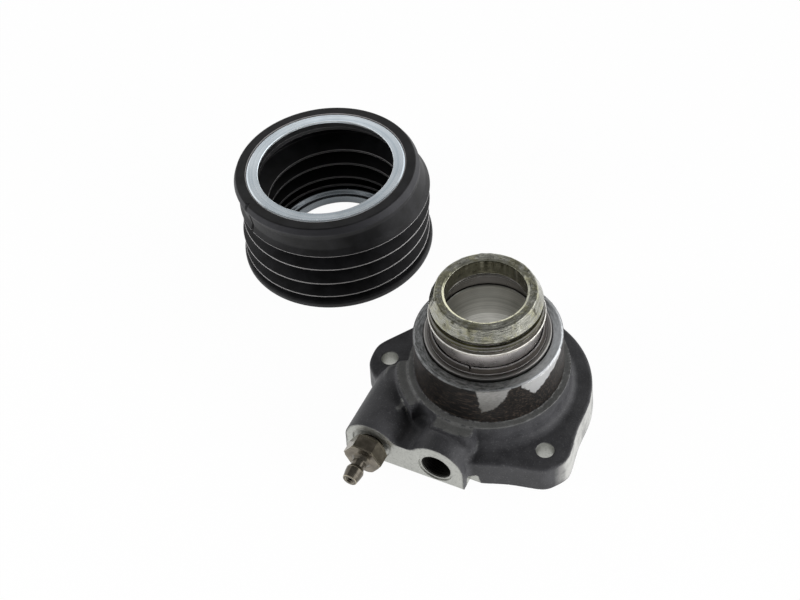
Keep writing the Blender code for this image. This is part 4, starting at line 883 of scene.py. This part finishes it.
def turned_steel(
    name, dark, light, roughness, pitch=4000.0, depth=0.01, centre=(0.0, 0.0), metallic=1.0, wear_glint_share=0.6,
    darker_inside_radius=0.0,
):
    """Turned steel with its lathe rings, smudges and bright edges, partly rubbed and partly a painted
    highlight, darker inside a radius if given.
    """
    material, shader, place = start_material(name)
    to_centre = {"Vector": place, "Location": (-centre[0], -centre[1], 0.0)}
    place = put("ShaderNodeMapping", to_centre).outputs[0]
    marks = effect("turning marks", Place=place, Pitch=pitch)
    smudge = effect("smudges", Place=place)["Smudge"]
    wear_and_glint = effect("edge wear", Place=place, Edge=attribute(place, "edge"), Amount=wear_glint_share)["Wear"]
    tone = put("ShaderNodeMix", {0: 0.4, 2: marks["Rings"], 3: marks["Drift"]}).outputs[0]
    colour = toned(ramp(tone, 0.3, 0.7), dark, light)
    # Darker colour inside the given radius
    if darker_inside_radius:
        inner = ramp(marks["Radius"], darker_inside_radius + 0.05 * MM, darker_inside_radius)
        colour = tinted(colour, inner, (84, 82, 78), 0.8)
    # Edges lightened towards white: partly rubbing, partly painted highlight
    colour = tinted(colour, wear_and_glint, (235, 235, 232), 0.5)
    metal = times(calc("SUBTRACT", 1.0, wear_and_glint), metallic)
    rough = calc("ADD", roughness, times(smudge, 0.12))
    normal = bumped(marks["Rings"], depth * MM)
    feed(shader, Base_Color=colour, Metallic=metal, Roughness=rough, Normal=normal)
    return material


def rubber(name, dark, light, roughness):
    """Moulded rubber: fine grain, dusty bloom in patches, lighter edges that are partly rubbed and dusty and
    partly a painted highlight, and a painted sheen strip where marked.
    """
    material, shader, place = start_material(name, Specular_IOR_Level=0.28)
    grain = effect("cast grain", Place=place, Grain=1600.0)
    smudge = effect("smudges", Place=place, Scale=140.0)["Smudge"]
    colour = toned(smudge, dark, light)
    # Sharp edges and ridges lightened: partly dust and rubbing, partly a painted highlight where they catch
    # the light
    colour = tinted(colour, ramp(attribute(place, "edge"), 0.75, 1.4), (146, 144, 144), 0.85)
    # Painted sheen: the marked strip on the boot lip's sloping edge is lightened as if it mirrored the light
    colour = tinted(colour, attribute(place, "sheen_band"), (58, 58, 62), 0.4)
    rough = calc("ADD", roughness, times(grain["Mottle"], 0.15))
    normal = bumped(grain["Height"], 0.02 * MM, 0.5)
    feed(shader, Base_Color=colour, Roughness=rough, Normal=normal)
    return material


def greased_collar_material():
    """Steel under a translucent olive film that was wiped round: streaks, wet beads and bare places, with
    painted glints on its inner rim and edges.
    """
    material, shader, place = start_material("greased collar", Metallic=0.9, Coat_Roughness=0.06)
    streaks = effect("wiped streaks", Place=place)
    radius, fine = streaks["Radius"], streaks["Fine"]
    film = effect("film", Place=place, Cover=0.56, Lump=160.0)
    steel = toned(fine, (126, 126, 118), (176, 176, 166))
    grease = toned(streaks["Broad"], (88, 86, 60), (168, 166, 136))
    colour = blended(times(film["Film"], 0.8), steel, grease)
    inside = ramp(radius, 14.55 * MM, 14.45 * MM)
    colour = tinted(colour, inside, (88, 84, 62), 0.8)
    # Painted glint: the inner rim's rounding, strongest on the side towards the ports, lightened to pale
    # yellow-white
    rim_glint = calc("SUBTRACT", ramp(radius, 15.35 * MM, 15.15 * MM), inside, clamp=True)
    glint_towards_ports = ramp(parts_of(place)[1], 2 * MM, -10 * MM, 0.15, 1.0)
    beads = ramp(noise(place, 330.0, 4.0, 0.6), 0.6, 0.66)
    colour = tinted(colour, beads, (58, 56, 34), 0.8)
    colour = tinted(colour, times(rim_glint, glint_towards_ports), (248, 246, 214), 0.85)
    # Painted glints: the collar's sharp edges lightened to near white
    colour = tinted(colour, ramp(attribute(place, "edge"), 1.0, 2.0), (244, 243, 222), 0.6)
    rough = calc("ADD", 0.13, times(fine, 0.1))
    ripple = calc("ADD", times(fine, 0.12), film["Thickness"])
    feed(shader, Base_Color=colour, Roughness=rough, Coat_Weight=times(film["Film"], 0.9))
    feed(shader, Normal=bumped(ripple, 0.4 * MM, 0.7))
    return material


def blackened_material():
    """Black-brown oxide on the bleed screw, its edges lightened to bronze and bright steel, partly by rubbing
    and partly as a painted highlight.
    """
    material, shader, place = start_material("blackened steel", Metallic=0.9)
    smudge = effect("smudges", Place=place, Scale=260.0)["Smudge"]
    wear_and_glint = effect("edge wear", Place=place, Edge=attribute(place, "edge"), Amount=0.75)["Wear"]
    oxide = toned(smudge, (92, 86, 76), (132, 125, 113))
    forward = parts_of(place)[1]
    nipple = ramp(forward, PORT_FACE_Y - 7.9 * MM, PORT_FACE_Y - 8.4 * MM)
    oxide = tinted(oxide, nipple, (70, 68, 64), 0.45)
    rough = calc("ADD", 0.16, times(smudge, 0.12))
    # Edges: partly rubbing, partly painted highlight
    feed(shader, Base_Color=tinted(oxide, wear_and_glint, (178, 170, 150)), Roughness=rough)
    return material


# The pieces


def edge_marks(outline, stations):
    """How sharply the outline turns outwards at each point, carried round the piece."""
    back = outline - np.roll(outline, 1, axis=0)
    ahead = np.roll(outline, -1, axis=0) - outline
    cross = back[:, 0] * ahead[:, 1] - back[:, 1] * ahead[:, 0]
    dot = np.sum(back * ahead, axis=1)
    turn = np.arctan2(cross, dot)
    turn *= np.sign(turn.sum())
    length = np.linalg.norm(back, axis=1) + np.linalg.norm(ahead, axis=1)
    sharp = np.clip(turn / np.maximum(length, 0.05 * MM) * MM, 0.0, 2.0)
    return {"edge": np.broadcast_to(sharp, (stations, len(outline)))}


def add_ring(name, corners, material, stations=224, centre=(0.0, 0.0), steps=5, reshaped=None):
    """A turned piece from its (radius, height, rounding) corners in mm, with its points then reshaped."""
    outline = rounded_outline(np.array(corners) * MM, steps)
    points = turned(outline, circle(stations), centre)
    if reshaped:
        points = reshaped(points)
    add_piece(name, points, grid_quads(stations, len(outline)), material, edge_marks(outline, stations))


def add_open_ring(name, corners, material, gap_direction, gap_degrees, stations=200):
    """A turned piece with a gap. A ladder of quads across its even-numbered section closes each end."""
    outline = rounded_outline(np.array(corners) * MM)
    start = math.radians(gap_direction + gap_degrees / 2)
    sweep = 2 * math.pi - math.radians(gap_degrees)
    points = turned(outline, start + np.linspace(0.0, sweep, stations)[:, None])
    count = len(outline)
    near = np.arange(count // 2 - 1)
    rungs = np.stack([near, near + 1, count - 2 - near, count - 1 - near], axis=1)
    sides = grid_quads(stations, count, wrap_rows=False)
    quads = np.concatenate([sides, rungs, rungs[:, ::-1] + (stations - 1) * count])
    add_piece(name, points, quads, material, edge_marks(outline, stations))


def make_guide_sleeve(material):
    foot, top = span("guide_sleeve")
    corners = [
        (15.7, foot, 0.5), (21.0, foot, 0.2), (21.0, foot + 1.4, 0.2), (17.0, foot + 1.4, 0.2),
        (17.0, top, 0.03), (16.6, top - 0.45, 0.05), (15.7, top - 14.0, 2.0),
    ]
    add_ring("guide_sleeve_tube", corners, material)


def make_stop_ring(steel, wiper):
    """The ring that closes the bore, and the wiper in its recess, with a nick in the wiper's cone."""
    foot, top = span("stop_ring")
    wire = sum(span("stop_ring_lock_wire")) / 2
    corners = [
        (19.9, foot, 0.3), (22.9, foot, 0.2), (22.9, wire - 1.0, 0.1), (22.25, wire - 1.0, 0.1),
        (22.25, wire + 1.0, 0.1), (22.9, wire + 1.0, 0.1), (22.9, top, 0.6), (21.3, top - 0.1, 0.15),
        (21.3, top - 0.9, 0.1), (22.3, top - 0.9, 0.1), (22.3, top - 3.2, 0.1), (19.9, top - 3.2, 0.1),
    ]
    add_ring("stop_ring_body", corners, steel)
    cone_foot = top
    foot, top = span("wiper_seal")
    corners = [
        (19.9, foot, 0.2), (22.0, foot, 0.2), (22.0, cone_foot - 1.1, 0.1), (21.15, cone_foot - 1.1, 0.1),
        (21.15, cone_foot, 0.1), (20.8, cone_foot + 0.2, 0.2),
        (20.25, top - 0.2, 0.2), (20.05, top, 0.1), (19.9, top, 0.05),
    ]

    def nicked(points):
        off_nick = np.abs(np.degrees(circle(len(points))) - WIPER_NICK_DIRECTION) > WIPER_NICK_DEGREES / 2
        level = points[:, :, 2]
        points[:, :, 2] = np.where(off_nick, level, np.minimum(level, (cone_foot + 0.6) * MM))
        return points

    add_ring("wiper_seal_ring", corners, wiper, 480, reshaped=nicked)


def make_piston(material):
    base, top = span("piston")
    head_top = span("stop_ring")[0] - 0.3
    band_foot, band_top = span("piston_guide_band")
    snap_foot, snap_top = span("collar_snap_ring")
    neck = span("collar_cushion_ring")[0] - 0.3
    corners = [
        (17.3, base, 0.2), (23.1, base, 0.3), (23.1, band_foot - 0.3, 0.1), (21.9, band_foot - 0.3, 0.1),
        (21.9, band_top + 0.3, 0.1), (23.1, band_top + 0.3, 0.1), (23.1, head_top, 0.3),
        (19.6, head_top, 0.2), (19.6, snap_foot - 0.3, 0.25), (18.7, snap_foot - 0.3, 0.1),
        (18.7, snap_top + 0.3, 0.1), (19.6, snap_top + 0.3, 0.12), (19.6, neck, 0.12), (18.4, neck, 0.2),
        (18.4, top, 0.3), (15.8, top, 0.05), (15.0, top - 0.8, 0.05), (15.0, top - 1.8, 0.2),
        (17.3, top - 1.8, 0.2),
    ]
    add_ring("piston_turned", corners, material)


def grease_lumps(points):
    """Swells the collar above its foot by beads of grease: products of waves over direction and height."""
    x, y, z = np.moveaxis(points, -1, 0)
    from_height = foot_of("thrust_collar") + 1.9 * MM
    angle, radius = np.arctan2(y, x), np.hypot(x, y)
    across = (z - from_height) / MM
    waves = sum(
        np.sin(turns * angle + phase + 0.5 * across) * np.sin(rate * across + shift + 2.0 * angle)
        for turns, phase, rate, shift in ((9, 0.4, 0.9, 0.2), (17, 2.1, 1.7, 1.1), (31, 4.0, 2.9, 2.7))
    )
    swell = 0.09 * MM * np.clip(waves, 0.0, 2.0) * np.clip(across / 0.6, 0.0, 1.0)
    grown = 1.0 + swell * np.sign(radius - 16.5 * MM) / radius
    return np.stack([x * grown, y * grown, z], axis=-1)


def make_collar(greased, steel, cushion):
    foot, top = span("thrust_collar")
    corners = [
        (14.4, foot, 0.3), (18.9, foot, 0.2), (18.9, foot + 1.9, 0.25), (20.1, foot + 1.9, 0.35),
        (17.9, top, 0.7), (15.3, top, 0.12), (14.5, top - 0.35, 0.12), (14.4, top - 0.8, 0.1),
    ]
    add_ring("thrust_collar_ring", corners, greased, 480, steps=9, reshaped=grease_lumps)
    foot, top = span("collar_snap_ring")
    corners = [(19.0, foot, 0.2), (20.8, foot, 0.3), (20.8, top, 0.3), (19.0, top, 0.2)]
    add_open_ring("snap_ring_clip", corners, steel, SNAP_GAP_DIRECTION, SNAP_GAP_DEGREES)
    foot, top = span("collar_cushion_ring")
    corners = [(18.7, foot, 0.3), (20.2, foot, 0.5), (20.2, top, 0.5), (18.7, top, 0.3)]
    add_ring("cushion_ring", corners, cushion)


def leaned(points):
    """Shifts each height of the boot sideways by its lean, blended smoothly between the given heights."""
    heights, shifts = np.array(BOOT_LEAN).T * MM
    level = points[..., 2]
    shift = sum(np.interp(level + step * MM, heights, shifts) for step in (-2, -1, 0, 1, 2)) / 5.0
    return points + shift[..., None] * [*BOOT_LEAN_TOWARDS, 0.0]


def boot_corners():
    """Bellows wall: rounded lip round the top ring, V folds, and the bead that grips the base ring."""
    top, pitch, wall, valley_radius = 42.2, 7.7, 3.4, 31.8
    folds = [(29.1 - pitch * fold, radius) for fold, radius in enumerate((39.7, 39.7, 40.0, 40.3))]
    valleys = [ridge - pitch / 2 for ridge, _ in folds[:3]] + [(folds[3][0] + 3.0) / 2]
    outside = [(32.7, top, 0.3), (36.9, top, 0.8), (38.2, 39.7, 1.2), (37.5, 37.0, 2.0), (38.2, 32.0, 2.0)]
    for (ridge, radius), valley in zip(folds, valleys):
        outside += [(radius, ridge, 0.35), (valley_radius, valley, 0.9)]
    outside += [(40.4, 3.0, 1.2), (40.4, 0.0, 1.0), (30.2, 0.0, 0.1)]
    inside = [(30.2, 0.8, 0.1), (35.7, 0.8, 0.1), (35.7, 2.2, 0.1), (30.2, 2.2, 0.3)]
    valleys[3] += 0.85
    bottom = valley_radius - wall
    for (ridge, radius), valley in zip(folds[::-1], valleys[::-1]):
        inside += [(bottom, valley - 0.5, 0.3), (bottom, valley + 0.5, 0.25), (radius - wall, ridge, 0.5)]
    inside += [(38.2 - wall, 33.5, 1.0), (29.5, 36.2, 0.3), (28.7, 38.3, 0.25)]
    return outside + inside + [(28.7, top - 1.2, 0.1), (32.7, top - 1.2, 0.1)]


def make_bellows(material):
    """Rubber wall with its slit: a narrow groove sunk into the wall, with raised sides."""
    outline = rounded_outline(np.array(boot_corners()) * MM, steps=7)
    stations = 288
    points = turned(outline, circle(stations), BOOT_CENTRE)
    from_centre = (points - [*BOOT_CENTRE, 0.0]) * [1.0, 1.0, 0.0]
    radius, height = np.linalg.norm(from_centre, axis=2), points[:, :, 2]
    from_slit = np.abs(np.degrees(circle(stations)) - SLIT_DIRECTION)
    torn = (radius > 34 * MM) & (height > SLIT_FOOT) & (from_slit < 1.2)
    away = np.where(from_slit < 0.5, -1.2 * MM, 0.2 * MM) / radius * torn
    edge = edge_marks(outline, stations)["edge"]
    # The slit's raised sides get a high edge value, painted as light lines: partly a painted highlight
    edge = np.where(torn, np.where(from_slit < 0.5, 0.0, 1.3), edge)
    # Painted sheen: the strip along the lip's sloping edge is marked for lightening
    sheen_bevel = (radius > 36.8 * MM) & (np.abs(height - 40.6 * MM) < 1.3 * MM)
    points = leaned(points + away[:, :, None] * from_centre)
    quads = grid_quads(stations, len(outline))
    add_piece("boot_bellows", points, quads, material, {"edge": edge, "sheen_band": sheen_bevel})


def make_boot_rings(material):
    """Flat ring in the boot's lip, and the dished ring in its foot: a cos squared hump across its width."""
    top = span("boot_top_ring")[1]
    corners = [
        (27.8, top - 0.9, 0.15), (32.5, top - 0.9, 0.15), (32.5, top - 0.3, 0.05), (31.9, top, 0.1),
        (28.0, top, 0.1), (27.8, top - 0.2, 0.1),
    ]
    add_ring("boot_ring_upper", corners, material, 256, BOOT_CENTRE, reshaped=leaned)
    share = np.linspace(1.0, -1.0, 13)[:, None]
    hump = [27.8 + 2.1 * share, 1.1 + 1.4 * np.cos(share * math.pi / 2) ** 2, 0 * share]
    under = np.concatenate([[(35.4, 1.1, 0.1)], np.concatenate(hump, axis=1), [(24.6, 1.1, 0.5)]])
    collar = np.array([(23.8, 1.4, 0.6), (22.2, 0.3, 0.1), (23.0, 0.3, 0.1)])
    corners = np.concatenate([under + [0.0, 0.8, 0.0], collar, under[::-1]])
    add_ring("boot_ring_lower", corners, material, 256, BOOT_CENTRE)


def make_bleed_screw(material):
    """Screw turned about the port axis: the hexagon is the outline's radius cut back to six flats.

    A flat lies at the apothem divided by the cosine of the angle from its middle, so the radius there is
    the lesser of that and the outline's, which leaves the corner chamfers where the outline is smaller.
    """
    apothem = 6.5 * MM
    corners = [
        (1.1, -10.0, 0.1), (4.0, -13.6, 0.1), (4.6, -13.0, 0.1), (4.6, -2.0, 0.1), (3.96, -1.5, 0.1),
        (3.96, 1.0, 0.1), (6.4, 1.0, 0.1), (6.4, 1.6, 0.05), (7.0, 1.6, 0.05), (7.5, 1.9, 0.1),
        (7.5, 7.2, 0.1), (6.9, 7.6, 0.1), (3.7, 7.75, 0.3), (2.7, 9.0, 0.6), (2.65, 11.6, 0.3),
        (3.1, 12.1, 0.2), (3.35, 12.9, 0.4), (3.2, 14.5, 0.5), (2.7, 17.2, 0.2), (1.7, 17.2, 0.1),
        (1.1, 16.5, 0.1),
    ]
    outline = rounded_outline(np.array(corners) * MM)
    stations = 192
    from_flat = circle(stations) % (math.pi / 3) - math.pi / 6
    angle = circle(stations) + math.radians(HEX_TURN)
    radius, height = outline[None, :, 0], outline[None, :, 1]
    on_hexagon = (height > 1.5 * MM) & (height < 7.7 * MM)
    radius = np.where(on_hexagon, np.minimum(radius, apothem / np.cos(from_flat)), radius)
    y = PORT_FACE_Y - np.broadcast_to(height, radius.shape)
    points = np.stack([BLEEDER_X + radius * np.cos(angle), y, BLEEDER_Z + radius * np.sin(angle)], axis=-1)
    quads = grid_quads(stations, len(outline))
    add_piece("bleed_screw_body", points, quads, material, edge_marks(outline, stations), crease=30.0)


def make_inlet_thread(material):
    """Thread cut in the inlet: the wall's radius swings with the phase of a helix of one pitch a turn."""
    stations, rows = 144, 12 * 8
    angle = circle(stations)
    depth = np.linspace(1.2 * MM, INLET_DEPTH - 0.4 * MM, rows)[None, :]
    phase = (depth / INLET_PITCH + angle / (2 * math.pi)) % 1.0
    inner = INLET_HOLE_RADIUS - 0.05 * MM - 0.45 * MM * (1.0 - np.abs(2.0 * phase - 1.0))
    outer = np.full_like(inner, INLET_HOLE_RADIUS - 0.02 * MM)
    radius = np.concatenate([inner, outer], axis=1)
    y = PORT_FACE_Y + np.broadcast_to(np.concatenate([depth, depth[:, ::-1]], axis=1), radius.shape)
    points = np.stack([INLET_X + radius * np.cos(angle), y, INLET_Z + radius * np.sin(angle)], axis=-1)
    add_piece("inlet_thread", points, grid_quads(stations, 2 * rows), material)


# Stage


def set_world():
    """White backdrop that darkens overhead and behind the camera, and plain white to the camera itself."""
    world = bpy.data.worlds.new("studio")
    world.use_nodes = True
    tree = world.node_tree
    to_camera = tree.nodes.new("ShaderNodeLightPath").outputs["Is Camera Ray"]
    direction = tree.nodes.new("ShaderNodeTexCoord").outputs["Generated"]
    upwards = parts_of(direction)[2]
    strength = ramp(upwards, BACKDROP_TOP - 0.04, BACKDROP_TOP + 0.04, BACKDROP, OVERHEAD)
    towards = vector("DOT_PRODUCT", direction, CAMERA_SIDE)
    strength = times(strength, ramp(towards, 0.0, 0.85, 1.0, 0.15))
    sideways = vector("DOT_PRODUCT", direction, CAMERA_RIGHT)
    strength = times(strength, ramp(sideways, 0.4, 0.9, 1.0, 2.4))
    plain = put("ShaderNodeBackground", {"Color": WHITE, "Strength": strength}).outputs[0]
    shown = put("ShaderNodeBackground", {"Color": WHITE, "Strength": 1.0}, tree).outputs[0]
    mixed = put("ShaderNodeMixShader", {0: to_camera, 1: plain, 2: shown}).outputs[0]
    tree.links.new(mixed, tree.nodes["World Output"].inputs["Surface"])
    bpy.context.scene.world = world


def set_floor():
    """Pale floor that keeps the shadow, and looks white to the camera and in what the metal mirrors."""
    grey = linear(238, 238, 238)
    material, matt, place = start_material("pale floor", Base_Color=grey, Roughness=0.9)
    tree = material.node_tree
    path = tree.nodes.new("ShaderNodeLightPath").outputs
    glow = put("ShaderNodeEmission", {"Color": WHITE, "Strength": 1.0}, tree).outputs[0]
    out = vector("DOT_PRODUCT", place, CAMERA_SIDE)
    mirrored = times(path["Is Glossy Ray"], ramp(out, 0.06, 0.32, 1.0, 0.1))
    seen = times(calc("MAXIMUM", path["Is Camera Ray"], mirrored), 0.97)
    mixed = put("ShaderNodeMixShader", {0: seen, 1: matt.outputs[0], 2: glow}).outputs[0]
    tree.links.new(mixed, tree.nodes["Material Output"].inputs["Surface"])
    size = 3.0
    mesh = bpy.data.meshes.new("floor")
    corners = [(-size, -size, 0), (size, -size, 0), (size, size, 0), (-size, size, 0)]
    mesh.from_pydata(corners, [], [(0, 1, 2, 3)])
    mesh.materials.append(material)
    floor = bpy.data.objects.new("floor", mesh)
    bpy.context.scene.collection.objects.link(floor)


def set_stage():
    """Floor, backdrop, two soft lamps that no surface mirrors, and the photo's view."""
    scene = bpy.context.scene
    scene.view_settings.view_transform = "Standard"
    set_world()
    set_floor()
    for name, place, width, power in LAMPS:
        lamp = bpy.data.lights.new(name, "AREA")
        lamp.size = width
        lamp.energy = power
        light = bpy.data.objects.new(name, lamp)
        light.location = place
        light.visible_glossy = False
        light.rotation_euler = (Vector(LIT_MIDDLE) - light.location).to_track_quat("-Z", "Y").to_euler()
        scene.collection.objects.link(light)

    camera_data = bpy.data.cameras.new("photo view")
    camera_data.sensor_width = SENSOR_WIDTH
    camera_data.lens = FOCAL_PIXELS / IMAGE_WIDTH * SENSOR_WIDTH
    camera_data.clip_start = 0.01
    camera = bpy.data.objects.new("photo view", camera_data)
    right, up = Vector(CAMERA_RIGHT).normalized(), Vector(CAMERA_UP).normalized()
    turn = Matrix((right, up, right.cross(up))).transposed()
    camera.matrix_world = Matrix.Translation(CAMERA_PLACE) @ turn.to_4x4()
    scene.collection.objects.link(camera)
    scene.camera = camera


def dress(material, *nodes):
    """A better material on nodes that keep their own shape."""
    for node in nodes:
        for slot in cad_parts[node].material_slots:
            slot.material = material


def main():
    stop_steel = turned_steel("stop ring steel", (122, 120, 118), (164, 162, 159), 0.3, depth=0.004, wear_glint_share=0.2)
    sleeve_steel = turned_steel(
        "polished sleeve", (172, 166, 164), (204, 199, 197), 0.22, depth=0.001, darker_inside_radius=17.5 * MM
    )
    zinc = turned_steel("zinc plate", (212, 224, 233), (238, 246, 252), 0.16, 700.0, 0.001, BOOT_CENTRE)
    make_housing(casting_material())
    tube = turned_steel("brushed tube", (150, 149, 143), (216, 215, 208), 0.32, 2600.0, metallic=0.75)
    make_guide_sleeve(tube)
    make_stop_ring(stop_steel, rubber("wiper rubber", (30, 27, 25), (46, 42, 38), 0.5))
    make_piston(sleeve_steel)
    make_collar(
        greased_collar_material(),
        turned_steel("snap ring steel", (140, 136, 128), (186, 182, 172), 0.3),
        rubber("greasy cushion", (24, 23, 12), (60, 58, 34), 0.2),
    )
    make_bleed_screw(blackened_material())
    make_inlet_thread(turned_steel("inlet thread", (26, 26, 25), (44, 44, 42), 0.5))
    make_bellows(rubber("boot rubber", (9, 9, 10), (24, 24, 26), 0.42))
    make_boot_rings(zinc)
    spring_steel = turned_steel("oiled spring", (60, 60, 62), (90, 90, 92), 0.35)
    dress(spring_steel, "guide_sleeve_circlip", "preload_spring", "stop_ring_lock_wire")
    seal = rubber("seal rubber", (18, 18, 16), (34, 33, 28), 0.4)
    dress(seal, "guide_sleeve_o_ring", "flange_o_ring", "piston_seal")
    plastic = rubber("slide plastic", (70, 64, 58), (92, 86, 78), 0.5)
    dress(plastic, "seal_spreader_ring", "piston_guide_band")
    set_stage()


main()
